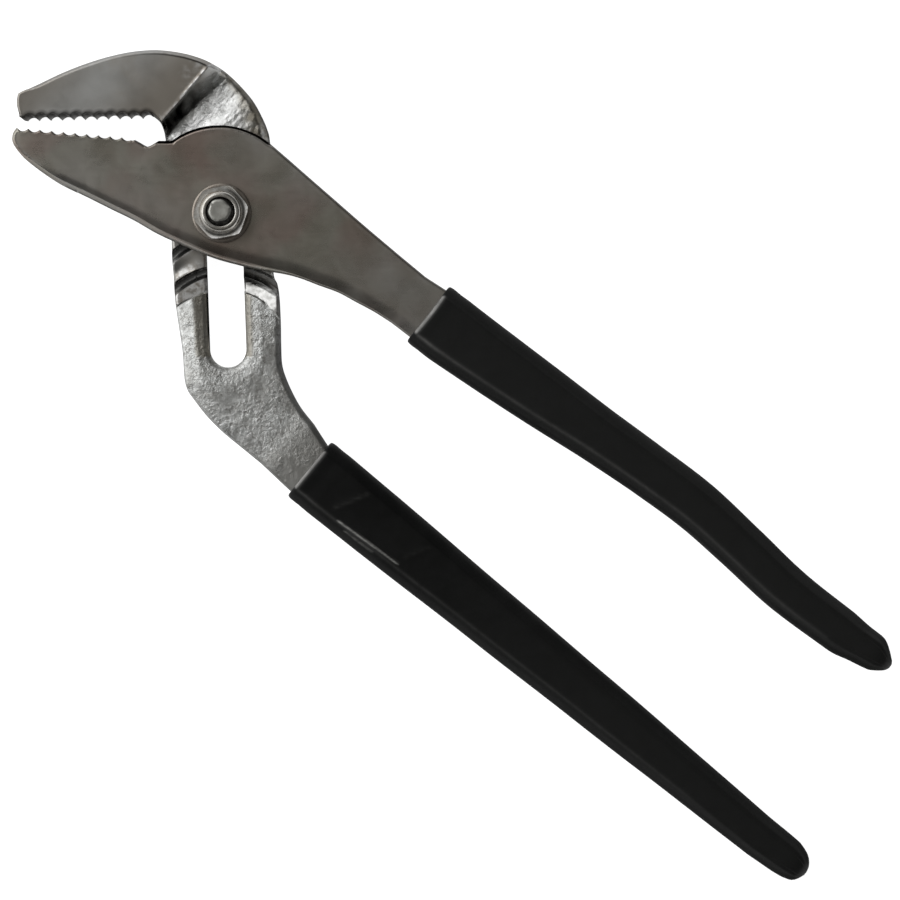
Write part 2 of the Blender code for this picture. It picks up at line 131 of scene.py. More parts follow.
def handle_sides(line, table, inset, step, stop_short):
    """The two sides and the round end of a handle core."""
    middle = curve(line, step)
    along = np.concatenate([[0], np.cumsum(np.linalg.norm(np.diff(middle, axis=0), axis=1))])
    total = along[-1] - stop_short
    half = np.interp(along, *zip(*table)) - inset
    end_r = float(np.interp(total, *zip(*table))) - inset
    way = np.gradient(middle, axis=0)
    way /= np.linalg.norm(way, axis=1)[:, None]
    side = np.column_stack([-way[:, 1], way[:, 0]])
    keep = along <= total - end_r
    left, right = (middle + side * half[:, None])[keep], (middle - side * half[:, None])[keep]
    w = way[keep][-1]
    centre = (left[-1] + right[-1]) / 2 + w * (total - end_r - along[keep][-1])
    turn = math.degrees(math.atan2(w[1], w[0]))
    return left, arc(centre, np.linalg.norm(left[-1] - right[-1]) / 2, turn + 90, turn - 90, 12), right


def scallops(line, toward, depth, power, per=9):
    """A jaw's toothed edge: shallow hollows with cusps between them; toward is into the jaw."""
    start, stop = np.array(line[0], float), np.array(line[1], float)
    length = np.linalg.norm(stop - start)
    way = (stop - start) / length
    into = np.array((-way[1], way[0]))
    if into[1] * toward < 0:
        into = -into
    count = round(length / 2.78)
    out = []
    for i in range(count):
        for j in range(per):
            t = j / per
            deep = depth * math.sin(math.pi * t) ** power
            deep *= 1.0 + 0.10 * math.sin(2.3 * i + 0.7)
            out.append(start + way * (length * (i + t) / count) + into * deep)
    return np.array(out + [stop])


def to_segments(p, a, b):
    """Least distance of each point to a set of segments."""
    out = np.full(len(p), 1e9)
    if not len(a):
        return out
    ab = b - a
    ll = np.maximum((ab * ab).sum(1), 1e-12)
    for i in range(0, len(p), 3000):
        ap = p[i:i + 3000, None] - a[None]
        t = np.clip((ap * ab).sum(2) / ll, 0, 1)
        d = ap - t[..., None] * ab
        out[i:i + 3000] = np.sqrt((d * d).sum(2).min(1))
    return out


def inside(p, ring):
    """Which points lie inside a closed ring."""
    a, b = ring, np.roll(ring, -1, 0)
    out = np.zeros(len(p), bool)
    for i in range(0, len(p), 3000):
        x, y = p[i:i + 3000, 0:1], p[i:i + 3000, 1:2]
        cross = (a[:, 1] > y) != (b[:, 1] > y)
        dy = np.where(np.abs(b[:, 1] - a[:, 1]) < 1e-12, 1e-12, b[:, 1] - a[:, 1])
        at = (b[:, 0] - a[:, 0]) * (y - a[:, 1]) / dy + a[:, 0]
        out[i:i + 3000] = ((cross & (x < at)).sum(1) % 2) == 1
    return out


def smooth(t):
    t = np.clip(t, 0, 1)
    return t * t * (3 - 2 * t)


class Plan:
    """A closed outline whose stretches carry the name of their edge treatment."""

    def __init__(self):
        self.points, self.kinds = [], []

    def run(self, points, kind):
        for p in points:
            p = np.array(p, float)
            if self.points and np.linalg.norm(p - self.points[-1]) < 0.06:
                continue
            self.points.append(p)
            self.kinds.append(kind)

    def closed(self):
        if np.linalg.norm(self.points[0] - self.points[-1]) < 0.06:
            self.points.pop(), self.kinds.pop()
        points, kinds = [], []
        for i, (p, kind) in enumerate(zip(self.points, self.kinds)):
            q = self.points[(i + 1) % len(self.points)]
            count = 1 if kind == "core" else max(1, round(float(np.linalg.norm(q - p)) / 0.6))
            points += [p + (q - p) * j / count for j in range(count)]
            kinds += [kind] * count
        return np.array(points), kinds


def signed_area(ring):
    x, y = ring[:, 0], ring[:, 1]
    return 0.5 * float((x * np.roll(y, -1) - np.roll(x, -1) * y).sum())


class Forging:
    """A forging seen in plan: an outline, holes and feature lines, meshed as one closed skin."""

    def __init__(self, plan, holes, lines, dots, rings, fine, coarse, coarse_here):
        self.ring, kinds = plan.closed()
        self.holes = holes
        self.edges = {}
        a, b = self.ring, np.roll(self.ring, -1, 0)
        for kind in sorted(set(kinds)):
            pick = np.array([k == kind for k in kinds])
            self.edges[kind] = (a[pick], b[pick])
        for kind, hole in holes:
            self.edges[kind] = (hole, np.roll(hole, -1, 0))
        all_a = np.vstack([e[0] for e in self.edges.values()])
        all_b = np.vstack([e[1] for e in self.edges.values()])

        loops = [self.ring] + [h for _, h in holes]
        cloud = []
        for loop, sign in zip(loops, [1] + [-1] * len(holes)):
            if signed_area(loop) * sign < 0:
                sign_here = -1
            else:
                sign_here = 1
            way = np.roll(loop, -1, 0) - np.roll(loop, 1, 0)
            way /= np.maximum(np.linalg.norm(way, axis=1), 1e-9)[:, None]
            inward = np.column_stack([-way[:, 1], way[:, 0]]) * sign_here
            far_off = coarse_here(loop)
            for j, d in enumerate(rings):
                pick = ~far_off | (j % 5 == 4)
                p = (loop + inward * d)[pick]
                gap = to_segments(p, all_a, all_b)
                cloud.append(p[(gap > 0.9 * d) & (gap > 0.05)])
        low, high = self.ring.min(0), self.ring.max(0)
        for pitch, where in ((fine, False), (coarse, True)):
            row = pitch * math.sqrt(3) / 2
            ys = np.arange(low[1], high[1], row)
            xs = np.arange(low[0], high[0], pitch)
            gx, gy = np.meshgrid(xs, ys)
            gx = gx + (np.arange(len(ys)) % 2)[:, None] * pitch / 2
            p = np.column_stack([gx.ravel(), gy.ravel()])
            p = p[coarse_here(p) == where]
            p = p[inside(p, self.ring)]
            gap = to_segments(p, all_a, all_b)
            cloud.append(p[gap > rings[-1] + pitch * 0.45])
        cloud = np.vstack(cloud + ([np.vstack(dots)] if dots else []))
        cloud = cloud[inside(cloud, self.ring)]
        for _, hole in holes:
            cloud = cloud[~inside(cloud, hole)]
        cloud = cloud[to_segments(cloud, all_a, all_b) > 0.05]
        if lines:
            la = np.vstack([l[:-1] for l in lines])
            lb = np.vstack([l[1:] for l in lines])
            cloud = cloud[to_segments(cloud, la, lb) > 0.11]

        verts, links = [], []
        for loop in loops:
            n = len(verts)
            verts += [tuple(p) for p in loop]
            links += [(n + i, n + (i + 1) % len(loop)) for i in range(len(loop))]
        for line in lines:
            n = len(verts)
            verts += [tuple(p) for p in line]
            links += [(n + i, n + i + 1) for i in range(len(line) - 1)]
        verts += [tuple(p) for p in cloud]
        made = delaunay_2d_cdt([Vector(v) for v in verts], links, [], 0, 1e-5, False)
        flat = np.array([(v.x, v.y) for v in made[0]])
        tris = np.array([f for f in made[2] if len(f) == 3])
        mid = flat[tris].mean(1)
        keep = inside(mid, self.ring)
        for _, hole in holes:
            keep &= ~inside(mid, hole)
        tris = tris[keep]
        area = np.cross(flat[tris[:, 1]] - flat[tris[:, 0]], flat[tris[:, 2]] - flat[tris[:, 0]])
        tris[area < 0] = tris[area < 0][:, ::-1]
        used = np.unique(tris)
        index = np.full(len(flat), -1)
        index[used] = np.arange(len(used))
        self.at, self.tris = flat[used], index[tris]
        self.gap = {k: to_segments(self.at, *e) for k, e in self.edges.items()}

    def mesh(self, name, top, bottom, marks):
        """The closed skin with heights top and bottom, and named values on its points."""
        n = len(self.at)
        place = self.at + PIVOT
        verts = np.vstack([np.column_stack([place, top]), np.column_stack([place, bottom])]) * MM
        faces = [tuple(t) for t in self.tris] + [tuple(t[::-1] + n) for t in self.tris]
        once = {}
        for t in self.tris:
            for a, b in ((t[0], t[1]), (t[1], t[2]), (t[2], t[0])):
                if (b, a) in once:
                    del once[(b, a)]
                else:
                    once[(a, b)] = True
        faces += [(b, a, a + n, b + n) for a, b in once]
        made = bpy.data.meshes.new(name)
        made.from_pydata([tuple(v) for v in verts], [], [tuple(int(i) for i in f) for f in faces])
        made.validate()
        for key, values in marks.items():
            layer = made.attributes.new(key, "FLOAT", "POINT")
            layer.data.foreach_set("value", np.asarray(values, np.float32))
        made.shade_smooth()
        made.set_sharp_from_angle(angle=math.radians(38))
        return made


def edge_drop(d, high, wall, round_, lip):
    """How far a drafted, rounded edge lies below its face at distance d from the outline."""
    wall = np.broadcast_to(wall, d.shape)
    t = np.clip((d - wall) / round_, 0, 1)
    return np.where(d < wall, high - (high - lip) * np.clip(d / wall, 0, 1), lip * (1 - t) ** 2)


def grain(p, scale, seed):
    """Smooth noise over the plane, with features about scale millimetres wide."""
    return np.array([noise.noise(Vector((x / scale, y / scale, seed))) for x, y in p])


def add_piece(name, mesh, body, node, material):
    obj = bpy.data.objects.new(name, mesh)
    bpy.context.scene.collection.objects.link(obj)
    mesh.materials.append(material)
    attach(obj, body)
    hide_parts(node)
    return obj


# ------------------------------------------------------------------ materials
class Look:
    """A Principled material and short ways to add nodes to it."""

    def __init__(self, name, metallic, roughness, colour):
        self.material = bpy.data.materials.new(name)
        self.material.use_nodes = True
        self.tree = self.material.node_tree
        self.shader = self.tree.nodes["Principled BSDF"]
        self.shader.inputs["Metallic"].default_value = metallic
        self.shader.inputs["Roughness"].default_value = roughness
        self.shader.inputs["Base Color"].default_value = (*colour, 1)
        self.coords = self.tree.nodes.new("ShaderNodeTexCoord").outputs["Object"]

    def node(self, kind, **values):
        made = self.tree.nodes.new(kind)
        for key, value in values.items():
            setattr(made, key, value)
        return made

    def join(self, out, into):
        self.tree.links.new(out, into)

    def stretched(self, scale, turn):
        made = self.node("ShaderNodeMapping")
        made.inputs["Rotation"].default_value = (0, 0, turn)
        made.inputs["Scale"].default_value = scale
        self.join(self.coords, made.inputs["Vector"])
        return made.outputs["Vector"]

    def noise(self, scale, detail=2.0, rough=0.5, vector=None, distortion=0.0):
        made = self.node("ShaderNodeTexNoise")
        made.inputs["Scale"].default_value = scale
        made.inputs["Detail"].default_value = detail
        made.inputs["Roughness"].default_value = rough
        made.inputs["Distortion"].default_value = distortion
        self.join(vector or self.coords, made.inputs["Vector"])
        return made.outputs["Fac"]

    def cells(self, scale, feature="F1", vector=None):
        made = self.node("ShaderNodeTexVoronoi", feature=feature)
        made.inputs["Scale"].default_value = scale
        self.join(vector or self.coords, made.inputs["Vector"])
        return made.outputs["Distance"]

    def mark(self, name):
        made = self.node("ShaderNodeAttribute", attribute_name=name)
        return made.outputs["Fac"]

    def spread(self, value, low, high, out_low=0.0, out_high=1.0):
        made = self.node("ShaderNodeMapRange", clamp=True)
        self.join(value, made.inputs["Value"])
        for key, number in (("From Min", low), ("From Max", high), ("To Min", out_low), ("To Max", out_high)):
            made.inputs[key].default_value = number
        return made.outputs["Result"]

    def sums(self, a, b, how="ADD"):
        made = self.node("ShaderNodeMath", operation=how)
        for value, socket in ((a, made.inputs[0]), (b, made.inputs[1])):
            if isinstance(value, (int, float)):
                socket.default_value = value
            else:
                self.join(value, socket)
        return made.outputs[0]

    def blend(self, share, a, b, how="MIX"):
        made = self.node("ShaderNodeMix", data_type="RGBA", blend_type=how)
        if isinstance(share, (int, float)):
            made.inputs["Factor"].default_value = share
        else:
            self.join(share, made.inputs["Factor"])
        colour_a = [s for s in made.inputs if s.name == "A" and s.type == "RGBA"][0]
        colour_b = [s for s in made.inputs if s.name == "B" and s.type == "RGBA"][0]
        for value, socket in ((a, colour_a), (b, colour_b)):
            if isinstance(value, tuple):
                socket.default_value = (*value, 1)
            else:
                self.join(value, socket)
        return [s for s in made.outputs if s.type == "RGBA"][0]

    def colour(self, out):
        self.join(out, self.shader.inputs["Base Color"])

    def rough(self, out):
        self.join(out, self.shader.inputs["Roughness"])

    def bump(self, height, distance, strength=1.0, under=None):
        made = self.node("ShaderNodeBump")
        made.inputs["Strength"].default_value = strength
        made.inputs["Distance"].default_value = distance
        self.join(height, made.inputs["Height"])
        if under is not None:
            self.join(under, made.inputs["Normal"])
        return made.outputs["Normal"]

    def normal(self, out):
        self.join(out, self.shader.inputs["Normal"])


def front_steel():
    """Ground steel under a thin dark nickel plate, with painted highlights and some wear along its edges and painted
    shade in its recesses.
    """
    look = Look("dark_nickel_ground_steel", 1.0, 0.3, (0.42, 0.39, 0.33))
    warm = look.spread(look.noise(78, 2, 0.45, distortion=0.4), 0.38, 0.60)
    base = look.blend(warm, (0.412, 0.396, 0.338), (0.398, 0.320, 0.278))
    cool = look.spread(look.noise(30, 2, 0.5), 0.42, 0.66)
    base = look.blend(cool, base, (0.462, 0.445, 0.412))
    stains = look.spread(look.noise(150, 2, 0.45, look.stretched((1.0, 0.6, 1.0), math.radians(20)), 0.4), 0.46, 0.78, 0.0, 0.55)
    base = look.blend(stains, base, (0.315, 0.280, 0.232))
    specks = look.spread(look.noise(640, 1, 0.5), 0.56, 0.80, 0.0, 0.10)
    base = look.blend(specks, base, (0.33, 0.30, 0.26))
    # painted highlight, with some wear: lighter steel along the edges
    highlight_and_wear_share = look.sums(look.mark("edge"), look.spread(look.noise(700, 2), 0.35, 0.62), "MULTIPLY")
    base = look.blend(highlight_and_wear_share, base, (0.55, 0.55, 0.53))
    # painted shade: near-black with no reflection at the teeth, the throat and along the hump's rim
    base = look.blend(look.mark("grime_and_shade"), base, (0.03, 0.029, 0.027))
    look.join(look.blend(look.mark("grime_and_shade"), (1.0, 1.0, 1.0), (0.0, 0.0, 0.0)), look.shader.inputs["Specular Tint"])
    look.colour(base)
    lines = look.noise(1.0, 1, 0.5, look.stretched((150, 1300, 150), math.radians(40)))
    smear = look.spread(look.noise(120, 3, 0.6, distortion=0.8), 0.3, 0.7, 0.24, 0.36)
    look.rough(look.sums(smear, look.spread(lines, 0.3, 0.7, -0.012, 0.012)))
    fine = look.bump(lines, 0.000010, 0.15)
    look.normal(look.bump(look.noise(420, 1, 0.5), 0.000030, 0.12, fine))
    return look.material


def rear_steel():
    """Bright plated steel: ground on the jaw, milled at the grooves, as forged elsewhere."""
    look = Look("bright_plated_forged_steel", 1.0, 0.3, (0.55, 0.54, 0.52))
    forged = look.mark("forged")
    patches = look.spread(look.noise(150, 4, 0.6, distortion=0.8), 0.36, 0.66)
    rough_skin = look.blend(patches, (0.86, 0.875, 0.86), (0.60, 0.605, 0.585))
    stain = look.spread(look.noise(820, 4, 0.65, distortion=0.5), 0.49, 0.67)
    rough_skin = look.blend(stain, rough_skin, (0.42, 0.415, 0.395))
    # painted highlight on the neck: near-white forged skin, streaked
    rough_skin = look.blend(look.mark("neck_sheen_and_streaks"), rough_skin, (0.95, 0.955, 0.945))
    rough_skin = look.blend(look.mark("shade"), rough_skin, (0.36, 0.333, 0.275))
    # darker towards the grip's mouth and along the lower right edge
    rough_skin = look.blend(look.mark("darkening"), rough_skin, (0.34, 0.335, 0.315))
    cool = look.spread(look.noise(38, 2, 0.5, distortion=0.5), 0.36, 0.66)
    ground = look.blend(cool, (0.47, 0.465, 0.445), (0.58, 0.585, 0.57))
    brown = look.spread(look.noise(60, 3, 0.5, distortion=0.4), 0.52, 0.70)
    ground = look.blend(brown, ground, (0.46, 0.43, 0.385))
    cloud = look.spread(look.noise(230, 3, 0.6, distortion=0.6), 0.42, 0.66, 0.0, 0.40)
    ground = look.blend(cloud, ground, (0.63, 0.635, 0.62))
    ground = look.blend(look.mark("shade"), ground, (0.345, 0.315, 0.275))
    base = look.blend(forged, ground, rough_skin)
    # painted shade: near-black with no reflection in the grooves, down the step, at the teeth, along the slot and other
    # recesses
    dark = look.spread(look.mark("deep"), 0.1, 1.1, 0.0, 1.0)
    base = look.blend(dark, base, (0.022, 0.022, 0.021))
    look.join(look.blend(dark, (1.0, 1.0, 1.0), (0.0, 0.0, 0.0)), look.shader.inputs["Specular Tint"])
    # painted highlights, with some wear: lighter metal along edges, groove lips and the near leg's white band
    highlight_and_wear_share = look.sums(look.mark("edge"), look.spread(look.noise(800, 2), 0.35, 0.60), "MULTIPLY")
    base = look.blend(highlight_and_wear_share, base, (0.80, 0.798, 0.785))
    look.colour(base)
    lines = look.noise(1.0, 3, 0.6, look.stretched((500, 6500, 500), math.radians(-32)))
    ground_rough = look.spread(look.noise(140, 3, 0.6), 0.3, 0.7, 0.30, 0.42)
    forged_rough = look.spread(look.noise(420, 4, 0.6), 0.3, 0.7, 0.27, 0.44)
    mixed = look.node("ShaderNodeMix", data_type="FLOAT")
    look.join(forged, mixed.inputs["Factor"])
    look.join(ground_rough, mixed.inputs["A"])
    look.join(forged_rough, mixed.inputs["B"])
    look.rough(mixed.outputs["Result"])
    worked = look.sums(forged, look.spread(look.mark("darkening"), 0.0, 1.0, 1.0, 0.55), "MULTIPLY")
    worked = look.sums(worked, look.spread(look.mark("neck_sheen_and_streaks"), 0.0, 1.0, 1.0, 0.45), "MULTIPLY")
    worked = look.sums(worked, look.spread(look.noise(110, 3, 0.6, distortion=0.6), 0.36, 0.62, 0.35, 1.35), "MULTIPLY")
    pits = look.sums(look.noise(1500, 4, 0.62, distortion=0.4), worked, "MULTIPLY")
    skin = look.bump(pits, 0.00018, 0.90)
    look.normal(look.bump(lines, 0.000010, 0.5, skin))
    return look.material


def plated(name, colour, dark, rough):
    """Zinc plate on turned and pressed fittings, with painted shade where it is sheltered and painted highlights on its
    edges.
    """
    look = Look(name, 1.0, rough, colour)
    cloud = look.spread(look.noise(600, 4, 0.6, distortion=0.5), 0.35, 0.68)
    base = look.blend(cloud, colour, dark)
    # painted shade: near-black and rougher in sheltered places
    grime_and_shade = look.sums(look.mark("grime_and_shade"), look.spread(look.noise(1600, 3), 0.25, 0.55, 0.75, 1.0), "MULTIPLY")
    base = look.blend(grime_and_shade, base, (0.022, 0.020, 0.018))
    # painted highlights on edges and corners
    base = look.blend(look.sums(look.mark("edge"), look.spread(look.noise(1500, 2), 0.3, 0.6), "MULTIPLY"), base, (0.86, 0.85, 0.83))
    look.colour(base)
    look.rough(look.sums(look.spread(look.noise(900, 3, 0.6), 0.3, 0.7, rough - 0.06, rough + 0.08),
                         look.spread(look.mark("grime_and_shade"), 0.0, 1.0, 0.0, 0.35)))
    look.normal(look.bump(look.noise(1100, 2, 0.5), 0.00003, 0.14))
    return look.material


def insert_plastic():
    look = Look("lock_insert_plastic", 0.0, 0.6, (0.012, 0.012, 0.013))
    look.colour(look.blend(look.spread(look.noise(1800, 3), 0.4, 0.7), (0.008, 0.008, 0.009), (0.022, 0.021, 0.020)))
    look.rough(look.spread(look.noise(2600, 2), 0.3, 0.7, 0.5, 0.7))
    look.normal(look.bump(look.noise(3200, 2), 0.00005, 0.4))
    return look.material


def vinyl():
    """Dipped soft vinyl: a skinned, faintly rippled black with handling scuffs, painted highlight streaks and a painted
    sheen on the top face.
    """
    look = Look("dipped_black_vinyl", 0.0, 0.34, (0.007, 0.0075, 0.007))
    look.shader.inputs["Specular IOR Level"].default_value = 0.2
    look.shader.inputs["Coat Weight"].default_value = 0.0
    haze = look.spread(look.noise(70, 4, 0.6, distortion=0.5), 0.42, 0.72)
    base = look.blend(haze, (0.0062, 0.0065, 0.0063), (0.0100, 0.0103, 0.0100))
    # painted sheen: the flat top face lighter
    base = look.blend(look.mark("painted_sheen"), base, (0.0180, 0.0184, 0.0179))
    dust = look.spread(look.noise(2600, 3, 0.6), 0.66, 0.78, 0.0, 0.6)
    base = look.blend(dust, base, (0.018, 0.018, 0.0175))
    # scuffs, and painted highlight streaks along the creases
    scuff_and_highlight = look.sums(look.mark("scuff_and_highlight"), look.spread(look.noise(1500, 3, 0.6, look.stretched((0.3, 1.2, 1), math.radians(36))), 0.38, 0.60, 0.45, 1.0), "MULTIPLY")
    base = look.blend(scuff_and_highlight, base, (0.42, 0.42, 0.40))
    # painted highlight along the mouth's lip and one flank's crest
    line = look.sums(look.mark("lip"), look.spread(look.noise(300, 3, 0.6), 0.3, 0.62, 0.6, 1.0), "MULTIPLY")
    base = look.blend(line, base, (0.46, 0.455, 0.44))
    look.colour(base)
    rub = look.spread(look.noise(180, 4, 0.65, distortion=1.0), 0.34, 0.70, 0.30, 0.46)
    look.rough(rub)
    skin = look.bump(look.noise(1300, 3, 0.55), 0.000045, 0.35)
    look.normal(look.bump(look.noise(210, 2, 0.5), 0.00016, 0.30, skin))
    return look.material


FRONT_STEEL = front_steel()
REAR_STEEL = rear_steel()
NUT_METAL = plated("zinc_plated_nut", (0.71, 0.70, 0.66), (0.46, 0.43, 0.375), 0.21)
BOLT_METAL = plated("zinc_plated_bolt", (0.60, 0.60, 0.56), (0.50, 0.50, 0.46), 0.36)
WASHER_METAL = plated("dark_plated_washer", (0.41, 0.37, 0.325), (0.37, 0.325, 0.28), 0.30)
INSERT = insert_plastic()
VINYL = vinyl()


# ------------------------------------------------------------------ front forging
def make_front():
    left, end, right = handle_sides(UPPER_LINE, UPPER_HALF, GRIP_SKIN + GRIP_GAP, 2.2, 2.6)
    plan = Plan()
    plan.run(curve(FRONT_LOWER, 0.55), "low")
    plan.run(right[:4], "low")
    plan.run(right[4:], "core")
    plan.run(end[::-1], "core")
    plan.run(left[:3:-1], "core")
    plan.run(left[3::-1], "up")
    plan.run(curve(FRONT_UPPER, 0.55), "up")
    plan.run(arc(*HUMP, 49, 126.5, 1.7), "up")
    plan.run(curve(FRONT_THROAT, 0.4), "throat")
    plan.run(scallops(FRONT_TEETH, -1, 0.66, 0.85), "teeth")
    plan.run(curve([FRONT_TEETH[1], (-48.0, 19.3), (-48.5, 18.2), (-48.6, 16.9), FRONT_LOWER[0]], 0.4), "low")

    near, far = np.array(BACK_STEP[0]), np.array(BACK_STEP[1])
    run = (far - near) / np.linalg.norm(far - near)
    off = np.array((-run[1], run[0]))           # towards the joint
    if off @ (-near) < 0:
        off = -off
    arm_way = np.array((0.766, -0.643))
    lines = [np.linspace(near - run * 6 + off * s, far + run * 8 + off * s, 60) for s in (-0.3, 0.0)]
    for r in (ARC_R - TONGUE_IN, ARC_R + TONGUE_OUT):
        lines.append(arc((0, 0), r, TONGUE_FROM, TONGUE_TO, 1.6))
    dots = [arc((0, 0), r, TONGUE_FROM - 1, TONGUE_TO + 1, 1.6) for r in
            (ARC_R - TONGUE_IN - 0.14, ARC_R + TONGUE_OUT + 0.14)]
    form = Forging(plan, [("bore", arc((0, 0), HOLE_R, 0, 354, 6))], lines, dots,
                   [0.16, 0.34, 0.54, 0.74, 0.9, 1.02, 1.14, 1.28, 1.46, 1.75, 2.15, 2.65, 3.25],
                   0.85, 3.2, lambda p: (p @ arm_way) > 68)
    p, gap = form.at, form.gap
    s = (p - near) @ off
    along = p @ arm_way
    back = np.where(along > 20, FRONT_BACK, FRONT_BACK * smooth((s + 0.3) / 0.3))
    back = back + (FRONT_TANG[0] - FRONT_BACK) * np.clip((along - 31) / 6, 0, 1)
    middle = 0.5 * (JAW_TOP + back)
    high = JAW_TOP - middle - 0.2
    low_high = middle - back - 0.2
    core = smooth((along - 56) / 4)
    # the ground face dips a little before the lower edge, most of all below the joint
    x = p[:, 0]
    sag = np.interp(x, [-48, -41, -36, -24, -10, 12, 35, 45], [0.02, 0.12, 0.60, 0.70, 0.76, 0.90, 1.0, 0.8])
    reach = np.interp(x, [-48, -36, -24, -10, 15, 45], [0.9, 1.6, 1.9, 2.4, 3.0, 3.0])
    start = np.interp(x, [-18, 6, 18], [1.0, 0.9, 0.3])
    depth = np.interp(x, [-48, -44, -18, -6, 8, 18], [0.5, 1.0, 1.1, 1.0, 0.9, 0.35])
    width = np.interp(x, [-48, -44, -18, -6, 8, 18], [0.6, 1.0, 1.15, 1.3, 1.2, 0.4])
    power = np.interp(x, [-18, -6], [1.12, 1.9])
    wall = 0.12
    shoulder = np.where(gap["low"] < wall, high - (high - depth) * np.clip(gap["low"] / wall, 0, 1),
                        depth * np.clip(1 - (gap["low"] - wall) / (width - wall), 0, 1) ** power)
    off_hump = np.abs(np.hypot(p[:, 0] - HUMP[0][0], p[:, 1] - HUMP[0][1]) - HUMP[1])
    hump = smooth((2.5 - off_hump) / 0.8) * (p[:, 1] > 8) * smooth((11.8 - p[:, 0]) / 1.6)
    drop = np.maximum.reduce([
        shoulder + sag * np.clip(1 - (gap["low"] - start) / reach, 0, 1) ** 1.35,
        edge_drop(gap["up"], high, 0.22 + 0.40 * hump, 0.40, 0.26 + 0.14 * hump),
        edge_drop(gap["throat"], high, 0.25, 0.35, 0.25),
        edge_drop(gap["teeth"], 0.22, 0.16, 0.2, 0.06),
        edge_drop(gap["core"], high, 0.5, 2.2, 1.2),
        edge_drop(gap["bore"], 0.3, 0.2, 0.1, 0.02),
    ])
    wave = 0.022 * grain(p, 11.0, 3.1) + 0.010 * grain(p, 4.0, 8.7)
    calm = smooth((np.minimum.reduce([gap[k] for k in gap]) - 0.2) / 1.2)
    top = JAW_TOP - drop + np.minimum(wave, 0.03) * calm - 0.03 * calm
    rise = np.maximum.reduce([
        edge_drop(gap["low"], low_high, 0.7, 0.5, 0.35),
        edge_drop(gap["up"], low_high, 0.5, 0.5, 0.35),
        edge_drop(gap["throat"], low_high, 0.25, 0.35, 0.25),
        edge_drop(gap["teeth"], 0.22, 0.16, 0.2, 0.06),
        edge_drop(gap["core"], low_high, 0.5, 2.2, 1.2),
        edge_drop(gap["bore"], 0.3, 0.2, 0.1, 0.02),
    ])
    r = np.hypot(p[:, 0], p[:, 1])
    angle = np.degrees(np.arctan2(p[:, 1], p[:, 0]))
    tongue = smooth((np.where(r < ARC_R, TONGUE_IN, TONGUE_OUT) + 0.14 - np.abs(r - ARC_R)) / 0.14)
    tongue = tongue * smooth((angle - TONGUE_FROM + 1) / 1) * smooth((TONGUE_TO + 1 - angle) / 1)
    bottom = np.where(tongue > 0.001, back - TONGUE_HIGH * tongue + rise * (1 - tongue), back + rise)
    bottom = np.minimum(bottom, top - 0.3)
    # painted highlights, with some wear: a light line along the bevels' crest and the lower shoulder
    edge_gap = np.minimum.reduce([gap[k] for k in ("low", "up", "throat", "teeth")])
    highlight_and_wear_paint = np.exp(-((edge_gap - 1.1) / 0.22) ** 2)
    highlight_and_wear_paint = highlight_and_wear_paint * smooth((gap["teeth"] - 0.6) / 1.0) * np.where(gap["low"] < 2.0, np.interp(p[:, 0], [-42, -12], [0.7, 0.0]), 0.25)
    highlight_and_wear_paint = np.maximum(highlight_and_wear_paint, 0.7 * smooth((0.75 - gap["low"]) / 0.4) * np.interp(p[:, 0], [-40, -10, 12, 18], [0.4, 1.0, 1.0, 0.3]))
    # painted shade: the teeth, the throat and a dark line round the hump's rim where it meets the neck
    grime_and_shade = np.maximum(0.25 * smooth((0.55 - gap["teeth"]) / 0.4), 0.8 * smooth((0.7 - gap["throat"]) / 0.6))
    grime_and_shade = np.maximum(grime_and_shade, (0.45 + 0.5 * hump) * smooth((0.36 + 0.52 * hump - gap["up"]) / 0.26))
    mesh = form.mesh("front_forging", top, bottom, {"edge": np.concatenate([highlight_and_wear_paint, highlight_and_wear_paint * 0.6]),
                                                    "grime_and_shade": np.concatenate([grime_and_shade, grime_and_shade])})
    return add_piece("front_forging", mesh, "front_half", "front_arm", FRONT_STEEL)


